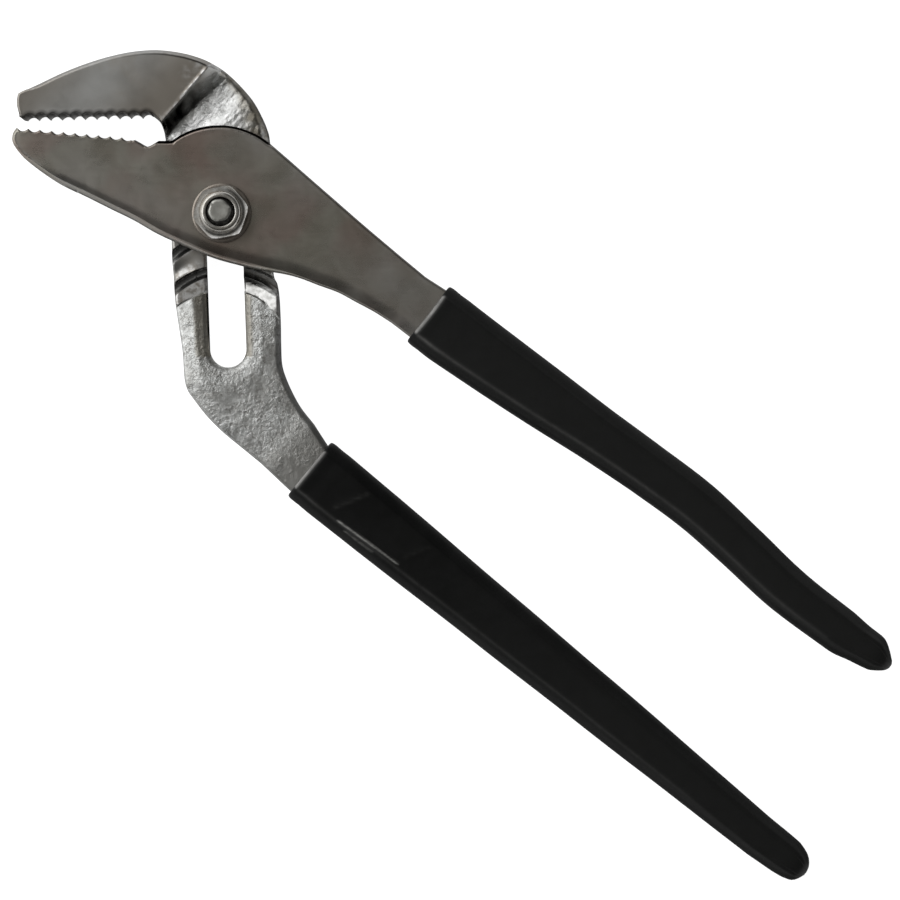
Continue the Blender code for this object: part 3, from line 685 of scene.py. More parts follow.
# ------------------------------------------------------------------ rear forging
def make_rear():
    left, end, right = handle_sides(LOWER_LINE, LOWER_HALF, GRIP_SKIN + GRIP_GAP, 2.2, 2.6)
    top_at, foot = np.array(STEP_LINE[0]), np.array(STEP_LINE[1])
    across = (foot - top_at) / np.linalg.norm(foot - top_at)
    away = np.array((-across[1], across[0]))
    mouth = float((np.array(LOWER_LINE[0]) - top_at) @ away)

    plan = Plan()
    over = curve(REAR_TOP, 0.5)
    for p in over:
        plan.run([p], "jaw" if (p - top_at) @ away < 0.4 else "right")
    plan.run(left[:4], "right")
    plan.run(left[4:], "core")
    plan.run(end, "core")
    plan.run(right[:3:-1], "core")
    plan.run(right[3::-1], "left")
    for p in curve(REAR_LEFT, 0.5):
        plan.run([p], "throat" if p[1] > 15.0 else "left")
    plan.run(scallops(REAR_TEETH, 1, 0.86, 0.75), "teeth")
    plan.run(curve([REAR_TEETH[1], (-46.6, 22.2), REAR_TOP[0]], 0.35), "teeth")

    turn = np.array(((math.cos(SLOT_TILT), -math.sin(SLOT_TILT)), (math.sin(SLOT_TILT), math.cos(SLOT_TILT))))
    slot = np.vstack([arc((0, 0), SLOT_HALF, 0, 180, 5),
                      np.column_stack([np.full(60, -SLOT_HALF), np.linspace(0, -TRAVEL, 62)[1:-1]]),
                      arc((0, -TRAVEL), SLOT_HALF, 180, 360, 5),
                      np.column_stack([np.full(60, SLOT_HALF), np.linspace(-TRAVEL, 0, 62)[1:-1]])]) @ turn.T
    ring = np.array(plan.points)

    def clipped(path):
        """The stretches of a path that lie on the forging or just beside it."""
        ok = inside(path, ring) | (to_segments(path, ring, np.roll(ring, -1, 0)) < 0.8)
        out, run = [], []
        for p, keep in zip(path, ok):
            if keep:
                run.append(p)
            else:
                if len(run) > 1:
                    out.append(np.array(run))
                run = []
        return out + ([np.array(run)] if len(run) > 1 else [])

    lines, dots = [], []
    for u in (0.0, STEP_RUN):
        lines += clipped(top_at + away * u + across * np.linspace(-8, 24, 110)[:, None])
    dots += [top_at + away * u + across * np.linspace(-8, 24, 80)[:, None] for u in (-0.35, -0.16, 0.14, 0.3, 2.3, 2.85, 3.2)]
    for k in range(SEATS):
        for r in (ARC_R - GROOVE_WIDE / 2, ARC_R + GROOVE_WIDE / 2):
            lines += clipped(arc(seat(k), r, 28, 170, 1.7))
        dots += [arc(seat(k), ARC_R + x, 28, 170, 1.8) for x in (-1.62, -1.43, -1.18, -1.0, -0.7, -0.35, 0.0, 0.7, 1.0, 1.18, 1.43, 1.62)]
    for r in (PAD_R, PAD_R - 0.4):
        lines += clipped(arc(seat(SEATS - 1), r, -10, 80, 2.2))
        lines += clipped(arc(PAD_LEFT[0], PAD_LEFT[1] + r - PAD_R, 100, 150, 1.5))
    ends = HEAD_LONG + 0.35
    for grow in (0.0, 0.14):
        box = np.array([(-CHANNEL_HALF - grow, ends + grow), (-CHANNEL_HALF - grow, -TRAVEL - ends - grow),
                        (CHANNEL_HALF + grow, -TRAVEL - ends - grow), (CHANNEL_HALF + grow, ends + grow),
                        (-CHANNEL_HALF - grow, ends + grow)])
        for a, b in zip(box, box[1:]):
            n = max(2, round(float(np.linalg.norm(b - a)) / 0.9))
            lines.append((a + (b - a) * np.linspace(0, 1, n + 1)[:, None]) @ turn.T)

    form = Forging(plan, [("slot", slot)], lines, dots,
                   [0.14, 0.3, 0.5, 0.72, 0.92, 1.06, 1.22, 1.42, 1.66, 1.95, 2.3, 2.7],
                   0.44, 3.0, lambda p: ((p - top_at) @ away) > mouth + 14)
    p, gap = form.at, form.gap
    u = (p - top_at) @ away
    r0 = np.hypot(*(p - seat(0)).T)
    r6 = np.hypot(*(p - seat(SEATS - 1)).T)
    below = (p - seat(SEATS - 1))[:, 1] < 14.5

    pad = np.where(p[:, 0] < 0.5, np.hypot(*(p - np.array(PAD_LEFT[0])).T) - PAD_LEFT[1], r6 - PAD_R)
    milled = smooth((20.6 - r0) / 0.5)
    milled = np.maximum(milled, np.where(p[:, 1] < 8, 1.0, 0.0))
    milled = milled * np.where(below, smooth((pad + 0.4) / 0.4), 1.0)
    milled = milled * np.where(p[:, 1] < -TRAVEL, 0.0, 1.0)
    on_jaw = smooth(-u / 0.2 + 1)
    forged = np.clip((1 - milled) * (1 - on_jaw), 0, 1) * smooth((u - 0.6) / 1.6)

    down = (p - top_at) @ across                # along the step, from its top
    run = np.interp(down, [-1, 3, 8, 14], [4.2, 3.6, 2.9, 2.5]) + 0.28 * grain(p, 1.5, 40.0)
    face = np.where(u < 0, JAW_TOP, JAW_TOP + (REAR_FACE - JAW_TOP) * np.clip(u / run, 0, 1))
    face = face + 0.25 * smooth((u - mouth + 9.0) / 10.0)
    lowered = np.where(p[:, 1] < 0, 0.34 * (1 - milled), 0.0) * smooth((mouth - 6 - u) / 6)
    deep = np.zeros(len(p))
    for k in range(SEATS):
        x = (np.hypot(*(p - seat(k)).T) - ARC_R) / (GROOVE_WIDE / 2)
        a = np.degrees(np.arctan2(*(p - seat(k)).T[::-1]))
        here = (np.abs(x) < 1) & (a > 27) & (a < 171)
        floor_ = np.minimum(1 - np.clip(-x, 0, 1) ** 2.6, 1 - np.clip(x, 0, 1) ** 8)
        deep = np.maximum(deep, np.where(here, floor_, 0))
    deep = deep * (u > run)
    # the land below the last groove is dished towards the pivot on the near leg
    r2 = np.hypot(*(p - np.array((0.36, -10.4))).T)
    band = (p[:, 1] < 0) & (r6 < ARC_R) & (pad > -0.4)
    sink = np.where(p[:, 0] > 0, 0.22 * np.clip(16.4 - r2, 0, 10.4), 0.0)
    dish = np.where(band, sink, 0.0) * milled * smooth((17.25 - r6) / 1.1)
    # the neck lies lowest at the foot of the jaw's step
    hollow = 1.7 * (1 - smooth((u - run - 0.3) / 9.0)) * smooth((r0 - 19.0) / 1.2)
    hollow = hollow * np.clip((u / run - 0.35) / 0.65, 0, 1) ** 1.3 * np.interp(down, [0, 4], [0.5, 1.0])

    base = np.where(u < 0, 0.0, 0.0)
    mid = np.where(u < STEP_RUN + 0.5, np.interp(u, [-1, STEP_RUN + 0.5], [6.2, 3.1]), 3.1)
    mid = mid + 1.1 * smooth((u - mouth + 7.5) / 5.0)
    channel_at = p @ turn                       # back into the slot's own axes
    ax = np.abs(channel_at[:, 0]) - CHANNEL_HALF
    ay = np.maximum(channel_at[:, 1] - ends, -TRAVEL - ends - channel_at[:, 1])
    channel = smooth(-np.maximum(ax, ay) / 0.14 + 1) * 1.0
    back = base + CHANNEL_DEEP * np.where(np.maximum(ax, ay) < 0.14, channel, 0)
    back = back + REAR_TANG[0] * smooth((u - mouth + 7.0) / 4.5)

    high = face - mid - 0.2
    soft = np.clip(forged, 0, 1)
    drop = np.maximum.reduce([
        edge_drop(gap["jaw"], high, np.interp(p[:, 0], [-47.6, -45.5, -42.5], [0.30, 0.45, 0.92]), 0.40, 0.30),
        edge_drop(gap["right"], high, np.interp(p[:, 1], [8, 15, 20, 31, 36], [0.30, 0.5, 0.5, 0.4, 0.5]),
                  0.5 + 0.7 * soft, 0.28 + 0.35 * soft),
        0.95 * np.clip(np.interp(p[:, 1], [8, 13, 16, 22, 30], [0.0, 0.6, 1.9, 1.4, 0.2]) - gap["right"], 0, 2.0),
        edge_drop(gap["left"], high, 0.30, 0.45, 0.28) + soft * 0.78 * np.clip(1 - (gap["left"] - 0.3) / 4.0, 0, 1) ** 1.15,
        edge_drop(gap["throat"], high, 0.25, 0.45, 0.30),
        edge_drop(gap["teeth"], 0.22, 0.16, 0.2, 0.06),
        edge_drop(gap["slot"], 0.55 + 0.45 * soft, 0.18 + 0.1 * soft, 0.35 + 0.75 * soft, 0.30 + 0.3 * soft)
        + soft * 0.34 * np.clip(1 - gap["slot"] / 3.6, 0, 1) * (p[:, 1] < 0),
        edge_drop(gap["core"], high, 0.5, 2.2, 1.2),
    ])
    drop = np.maximum(drop, deep * GROOVE_DEEP)
    chip = 0.028 * np.clip(-5.2 - p[:, 0], 0, 6) ** 2 * smooth((23.8 - r6) / 2.8) * smooth((r6 - 19.85) / 0.3) * (p[:, 1] < 0) * (p[:, 1] > -20)
    drop = drop + chip * (deep < 0.001)
    drop = drop + lowered * (deep < 0.001)
    drop = np.maximum(drop, dish + np.minimum(drop, 0.3) * (dish > 0) * (deep < 0.001)) + hollow
    dents = 0.032 * grain(p, 1.7, 1.3) + 0.040 * grain(p, 0.95, 5.1) + 0.05 * grain(p, 4.4, 9.4)
    dents = dents * np.interp(u, [mouth - 18, mouth - 6], [1.0, 0.55])
    flow = np.column_stack([p @ np.array((0.67, 0.74)) / 5.0, p @ np.array((-0.74, 0.67))])
    streaks = 0.13 * grain(flow, 1.7, 4.0) + 0.13 * grain(flow, 0.85, 6.0) + 0.08 * grain(flow, 0.5, 8.0) + 0.09 * grain(p, 1.2, 2.0) + 0.06 * grain(p, 0.75, 3.0)
    dents = np.where(p[:, 1] > 8, streaks, dents)
    open_ = smooth((np.minimum.reduce([gap[k] for k in gap]) - 0.05) / 0.7)
    calm = smooth((np.minimum.reduce([gap[k] for k in ("jaw", "teeth", "throat")]) - 0.2) / 1.2)
    crown = -0.012 * np.abs((p - np.array((-25.0, 29.0))) @ np.array((0.25, 0.97))) ** 1.6
    crown = crown * np.clip(1 - u / run, 0, 1)
    wave = (0.03 * grain(p, 9.0, 2.2) - 0.02) * calm * smooth(-u / 0.6)
    burr = 0.15 * np.exp(-((u + 0.20) / 0.24) ** 2) * np.interp(down, [0, 1.0, 9, 13], [0.3, 1.0, 0.7, 0.2])
    top = face - drop + (dents - 0.16) * forged * open_ + crown + wave + np.minimum(burr, -np.minimum(crown, 0))
    top = np.where((u > run) & (r0 < 70) & (u < mouth - 8), np.minimum(top, REAR_FACE), top)

    low_high = np.maximum(mid - base - REAR_TANG[0] * smooth((u - mouth + 7.0) / 4.5) - 0.2, 0.3)
    rise = np.maximum.reduce([
        edge_drop(gap["jaw"], low_high, 0.6, 0.5, 0.35),
        edge_drop(gap["right"], low_high, 0.34, 1.0, 0.6),
        edge_drop(gap["left"], low_high, 0.34, 1.0, 0.6),
        edge_drop(gap["throat"], low_high, 0.25, 0.45, 0.3),
        edge_drop(gap["teeth"], 0.22, 0.16, 0.2, 0.06),
        edge_drop(gap["slot"], 0.25, 0.15, 0.15, 0.08),
        edge_drop(gap["core"], low_high, 0.5, 2.2, 1.2),
    ])
    back_dents = np.maximum(0.10 * grain(p, 2.4, 15.0) + 0.06 * grain(p, 1.2, 21.0) + 0.03, 0.0)
    flat_back = (np.maximum(ax, ay) > 0.2) & (u > 3)
    bottom = np.maximum(back, rise * np.where(np.maximum(ax, ay) < 0.14, 0, 1) + back) + back_dents * flat_back * open_
    bottom = np.minimum(bottom, top - 0.3)

    # painted highlights, with some wear: a line inside the jaw's rim, the step's upper edge, a patch at the step's top
    # and the neck's right rim
    outer = np.minimum.reduce([gap[k] for k in ("jaw", "throat")])
    highlight_and_wear_paint = np.exp(-((outer - 1.0) / 0.16) ** 2) * 0.45 * (p[:, 0] > -44)
    highlight_and_wear_paint = np.maximum(highlight_and_wear_paint, np.exp(-((u + 0.14) / 0.24) ** 2) * (gap["throat"] > 0.4) * np.interp(down, [0, 8, 14], [2.0, 1.6, 0.6]))
    highlight_and_wear_share = 0.8 * np.clip(0.25 + 1.3 * grain(p, 1.3, 61.0), 0, 1) * smooth((9 - down) / 5) * smooth((u + 6) / 5) * (u < 0) * (gap["jaw"] > 1.6)
    highlight_and_wear_paint = np.maximum(highlight_and_wear_paint, highlight_and_wear_share)
    rim = smooth((2.0 - gap["right"]) / 0.4) * (p[:, 1] > 13.5) * smooth((23 - p[:, 1]) / 4) * (u > run)
    highlight_and_wear_paint = np.maximum(highlight_and_wear_paint, rim * np.clip(0.6 + 0.9 * grain(p, 1.1, 71.0), 0, 1))
    # lighter smears on the left leg's lands
    smear = smooth((22.3 - r6) / 1.5) * (r6 > 19.8) * (p[:, 0] < 0) * (p[:, 1] < 0) * np.interp(p[:, 0], [-11, -7, -4], [1.0, 0.9, 0.3])
    highlight_and_wear_paint = np.maximum(highlight_and_wear_paint, smear * np.clip(0.75 + 1.7 * grain(p, 1.2, 50.0), 0, 1.5))
    rim = np.full(len(p), 9.0)
    for k in range(SEATS):                      # a painted highlight along the inner lip of each groove
        x, y = (p - seat(k)).T
        rim = np.minimum(rim, np.where(y > 0.45 * np.abs(x), np.abs(np.hypot(x, y) - ARC_R + GROOVE_WIDE / 2 + 0.05), 9.0))
    highlight_and_wear_paint = np.maximum(highlight_and_wear_paint, np.exp(-(rim / 0.22) ** 2) * milled * (u > STEP_RUN))
    # a painted highlight on the land below the last groove, which shows as the near leg's white band
    highlight_and_wear_paint = np.maximum(highlight_and_wear_paint, np.where(band & (deep < 0.01), 1.0, 0.0) * milled)
    near_leg = (p[:, 0] > 3) & (p[:, 1] < -8) & (p[:, 1] > -24)
    # painted shade: a dark band along the near leg's groove, kept clear of the highlight
    lee = smooth((p[:, 1] - np.interp(p[:, 0], [5, 12.5], [-16.8, -18.0])) / 1.0) * near_leg * band
    highlight_and_wear_paint = highlight_and_wear_paint * (1 - lee)
    n = len(p)
    # painted shade: the grooves, fading to the right, and down the jaw's step
    deep = np.maximum(deep * 1.05 * np.interp(p[:, 0], [4, 9], [0.9, 0.45]), smooth((u - 0.1) / 0.5) * smooth((run + 0.9 - u) / 1.3)
                      * np.interp(down, [2.5, 5, 8, 13], [0.0, 0.30, 0.75, 1.0]) * np.clip(0.95 + 0.6 * grain(p, 1.8, 44.0), 0, 1.2))
    deep = np.maximum(deep, np.interp(p[:, 0], [5, 8, 12], [0.9, 0.75, 0.45]) * lee)
    # a painted dark line inside the jaw's top rim
    line = np.exp(-((gap["jaw"] - 1.38) / 0.22) ** 2) * np.interp(p[:, 0], [-47, -30, -20, -10, -3], [0.0, 0.15, 0.6, 1.05, 1.05])
    deep = np.maximum(deep, line * (u < -0.2))
    # painted shade at the teeth and the throat
    deep = np.maximum(deep, np.maximum(0.66 * smooth((1.5 - gap["teeth"]) / 1.2), 0.6 * smooth((0.8 - gap["throat"]) / 0.7)))
    # painted shade along the slot's left side and a painted dark line inside the neck's right edge
    deep = np.maximum(deep, 1.1 * smooth((0.5 - gap["slot"]) / 0.25) * (p[:, 0] < 0.3) * smooth((-12 - p[:, 1]) / 2)
                      * smooth((p[:, 1] + 31) / 4))
    deep = np.maximum(deep, 0.55 * np.exp(-((gap["right"] - np.interp(p[:, 1], [15, 20, 31], [2.2, 1.8, 0.8])) / 0.22) ** 2)
                      * (p[:, 1] > 14) * (u > run))
    highlight_and_wear_paint = highlight_and_wear_paint * smooth((gap["teeth"] - 1.2) / 1.0)
    shade = smooth((u + 17) / 14) * (u < 0.1) * 1.0 + 0.85 * smooth((-u - 17) / 11) * (u < 0)
    shade = np.maximum(shade, 0.75 * smooth((np.where(p[:, 0] > 0.5, 2.1, 3.8) - gap["slot"]) / 1.0) * forged * (p[:, 1] < 0) * (p[:, 1] > -33))
    brown = smooth((np.interp(p[:, 1], [16, 24, 30], [6.5, 5.0, 3.0]) - gap["right"]) / 3.0) * (0.95 + 0.8 * grain(p, 2.2, 31.0)) * (p[:, 1] > 8) * (u > STEP_RUN)
    shade = np.clip(np.maximum(shade, brown), 0, 1)
    lands = milled * (deep < 0.3) * (p[:, 0] < 0) * (p[:, 1] < 0)
    shade = np.maximum(shade, lands * np.clip(0.55 + 0.7 * grain(p, 2.6, 12.0), 0, 1))
    # darker towards the grip's mouth and along the lower right edge
    darkening = 0.85 * smooth((u - mouth + 16.0) / 13.0)
    darkening = np.maximum(darkening, 0.5 * smooth((4.5 - gap["right"]) / 3.0) * (p[:, 1] < -30) * forged)
    # painted highlight on the neck, streaked along the forging's flow
    neck_sheen_and_streaks = smooth((u - run - 0.3) / 1.6) * (p[:, 1] > 8) * np.clip(0.80 + 1.1 * grain(flow, 0.9, 17.0), 0, 1)
    neck_sheen_and_streaks = np.clip(neck_sheen_and_streaks * np.interp(down, [0, 6, 14], [0.35, 0.8, 1.0]), 0, 1)
    mesh = form.mesh("rear_forging", top, bottom, {
        "neck_sheen_and_streaks": np.concatenate([neck_sheen_and_streaks, neck_sheen_and_streaks * 0]),
        "darkening": np.concatenate([darkening, darkening * 0]),
        "shade": np.concatenate([shade, shade * 0]),
        "edge": np.concatenate([highlight_and_wear_paint, highlight_and_wear_paint * 0.4]),
        "forged": np.concatenate([forged, np.where(u > 3, 0.8, 0.0)]),
        "deep": np.concatenate([deep, np.zeros(n)]),
    })
    return add_piece("rear_forging", mesh, "rear_half", "rear_arm", REAR_STEEL)


# ------------------------------------------------------------------ pivot fittings
def turned(name, rows, steps, marks, turn=0.0):
    """A closed skin from rows of (radius, height, mark); a radius may be a function of the angle."""
    angles = np.arange(steps) * 2 * math.pi / steps + turn
    verts, faces, values = [], [], {k: [] for k in marks}
    for row in rows:
        for a in angles:
            r = row[0](a) if callable(row[0]) else row[0]
            z = row[1](a, r) if callable(row[1]) else row[1]
            verts.append(((PIVOT[0] + r * math.cos(a)) * MM, (PIVOT[1] + r * math.sin(a)) * MM, z * MM))
            for j, k in enumerate(marks):
                values[k].append(row[2 + j])
    count = len(rows)
    closed = rows[0][0] != 0 and rows[-1][0] != 0
    for i in range(count if closed else count - 1):
        for j in range(steps):
            a, b = i * steps + j, i * steps + (j + 1) % steps
            c, d = ((i + 1) % count) * steps + (j + 1) % steps, ((i + 1) % count) * steps + j
            faces.append((a, b, c, d))
    made = bpy.data.meshes.new(name)
    made.from_pydata(verts, [], faces)
    for k in marks:
        layer = made.attributes.new(k, "FLOAT", "POINT")
        layer.data.foreach_set("value", np.array(values[k], np.float32))
    if not closed:
        import bmesh
        form = bmesh.new()
        form.from_mesh(made)
        bmesh.ops.remove_doubles(form, verts=form.verts, dist=1e-7)
        bmesh.ops.recalc_face_normals(form, faces=form.faces)
        form.to_mesh(made)
        form.free()
    made.validate()
    made.shade_smooth()
    made.set_sharp_from_angle(angle=math.radians(32))
    return made


def make_pivot():
    flats, turn = 11.7, math.radians(11)

    def hexagon(a, shrink=0.0):
        b = (a - turn + math.pi / 6) % (math.pi / 3) - math.pi / 6
        b = math.pi / 6 - abs(b)
        r = (flats / 2 - shrink) / math.cos(b)
        return r - 0.55 * max(0.0, r - 6.2)      # blunted corners

    low, high, peak = 14.1, 18.6, 20.8
    rows = []
    # bore from the bottom up, over the collar, out over the chamfered hexagon and down
    # in each row g is painted shade, in the bore and at the collar's foot, and e a painted highlight on the collar
    for r, z, g, e in ((3.4, low, 0.3, 0), (3.4, 18.7, 0.9, 0), (4.1, 18.75, 1, 0), (4.1, 20.3, 1, 0), (3.42, 20.34, 0.9, 0),
                       (3.32, 20.62, 0.40, 0.1), (3.42, 20.76, 0.08, 0.1), (3.66, 20.82, 0, 0.1), (4.05, 20.80, 0, 0.1), (4.28, 20.70, 0, 0.1),
                       (4.48, 20.52, 0, 0.2), (4.64, 20.28, 0, 0.3), (4.76, 19.95, 0, 0.3), (4.83, 19.5, 0.0, 0.1), (4.86, 19.0, 0.15, 0.0),
                       (4.93, 18.74, 0.5, 0), (5.06, 18.62, 0.45, 0), (5.24, 18.57, 0.15, 0.0)):
        rows.append((r, z, g, e))

    def chamfer(a, r):
        over = max(0.0, r - 5.28)
        return high - 0.03 - 0.92 * over + 0.105 * (1 - math.exp(-over / 0.25))

    # the chamfer's rows carry a faint painted highlight, the foot of the hexagon painted shade
    for share in (0.2, 0.4, 0.6, 0.8, 0.95):
        rows.append((lambda a, s=share: 5.28 + (hexagon(a) - 0.12 - 5.28) * s, chamfer, 0.0, 0.05))
    rows.append((lambda a: hexagon(a) - 0.06, lambda a, r: chamfer(a, r) - 0.02, 0.0, 0.2))
    rows.append((lambda a: hexagon(a), lambda a, r: chamfer(a, r) - 0.13, 0.0, 0.15))
    for z in (17.2, 16.0, 15.0):
        rows.append((lambda a: hexagon(a), lambda a, r, z=z: z, 0.05, 0.0))
    rows.append((lambda a: hexagon(a), lambda a, r: low + 0.12 + max(0.0, r - 5.5) * 0.5, 0.5, 0.1))
    rows.append((lambda a: hexagon(a) - 0.12, lambda a, r: low + 0.02, 0.9, 0))
    rows.append((5.3, low, 0.9, 0))
    nut = turned("lock_nut_body", rows, 144, ("grime_and_shade", "edge"), turn)
    shaded_side = nut.attributes["grime_and_shade"].data          # painted shade on the facets of one side, painted glints on the corners of the other
    bright = nut.attributes["edge"].data
    for i, v in enumerate(nut.vertices):
        x, y = v.co.x / MM - PIVOT[0], v.co.y / MM - PIVOT[1]
        lean = (-0.80 * x + 0.60 * y) / max(math.hypot(x, y), 1e-6)
        if math.hypot(x, y) > 5.0 and v.co.z > 0.0155:
            shaded_side[i].value = max(shaded_side[i].value, 0.62 * min(max((lean - 0.20) / 0.45, 0.0), 1.0))
            bright[i].value = max(bright[i].value, 1.3 * min(max((-lean - 0.0) / 0.4, 0.0), 1.0) * min(max((math.hypot(x, y) - 5.5) / 0.4, 0.0), 1.0))
    add_piece("lock_nut_body", nut, "pivot", "lock_nut", NUT_METAL)

    ring = turned("lock_insert_ring", [(3.42, 18.92), (3.40, 19.9), (3.5, 20.08), (3.7, 20.13), (3.92, 20.08), (3.94, 19.6), (3.94, 18.92)],
                  72, ())
    add_piece("lock_insert_ring", ring, "pivot", "nut_lock_ring", INSERT)

    # the washer's third column is painted shade under the nut, round the bore and along the outer wall's foot
    washer = turned("plain_washer", [(3.55, 12.72, 0.6, 0), (3.5, 12.85, 0.6, 0), (3.5, 13.75, 0.6, 0), (3.6, 13.88, 0.6, 0),
                                     (5.4, 13.90, 0.9, 0), (5.9, 13.90, 0.6, 0), (6.3, 13.90, 0.2, 0.0), (6.66, 13.88, 0.1, 0.0),
                                     (6.79, 13.80, 0.1, 0.0), (6.85, 13.62, 0.3, 0.0), (6.85, 12.95, 0.7, 0), (6.72, 12.74, 0.95, 0)],
                    120, ("grime_and_shade", "edge"))
    add_piece("plain_washer", washer, "pivot", "pivot_washer", WASHER_METAL)

    flat_half = CHANNEL_HALF - 0.2

    def head(radius):
        def at(a):
            b = a - SLOT_TILT
            return min(radius, flat_half / max(abs(math.cos(b)), 1e-6))
        return at

    def burr(a):
        return 2.46 + 0.10 * math.cos(3 * a + 0.6) + 0.07 * math.cos(6 * a - 0.9)

    # the bolt's third column is painted shade, most in the thread; the fourth a painted highlight on the head's rim
    bolt_rows = [(0, 0.14, 0, 0), (2.0, 0.12, 0, 0.1), (head(5.2), 0.10, 0.05, 0.1), (head(7.3), 0.12, 0.1, 0.4), (head(7.75), 0.28, 0.2, 0.6),
                 (head(7.98), 0.62, 0.3, 0.2), (head(8.0), 1.2, 0.4, 0), (head(8.0), 1.82, 0.5, 0), (head(7.9), 1.9, 0.6, 0), (4.1, 1.9, 0.7, 0),
                 (3.98, 2.1, 0.6, 0), (4.0, 6.0, 0.5, 0), (4.0, 12.3, 0.5, 0), (3.9, 12.48, 0.5, 0), (3.2, 12.5, 0.6, 0)]
    turns = 9
    for i in range(turns * 2):                  # crests and roots of the thread, up to the end
        z = 12.9 + i * 0.42
        bolt_rows.append((3.2 if i % 2 == 0 else 2.86, z, 0.85, 0))
    bolt_rows += [(3.16, 20.28, 0.95, 0), (2.92, 20.52, 0.95, 0), (lambda a: burr(a) + 0.16, 20.78, 0.9, 0), (lambda a: burr(a) + 0.04, 20.97, 0.5, 0),
                  (lambda a: burr(a) - 0.10, 21.06, 0.1, 0.1), (1.9, 21.07, 0.0, 0.0), (1.2, 21.04, 0.0, 0), (0.5, 21.02, 0.0, 0), (0, 21.03, 0, 0)]
    bolt = turned("pivot_bolt_body", bolt_rows, 96, ("grime_and_shade", "edge"))
    for v in bolt.vertices:                     # the peened end has spread to one side
        lean = min(max((v.co.z - 0.0203) / 0.0005, 0.0), 1.0)
        v.co.x -= 0.00022 * lean
        v.co.y += 0.00026 * lean
    add_piece("pivot_bolt_body", bolt, "pivot", "pivot_bolt", BOLT_METAL)


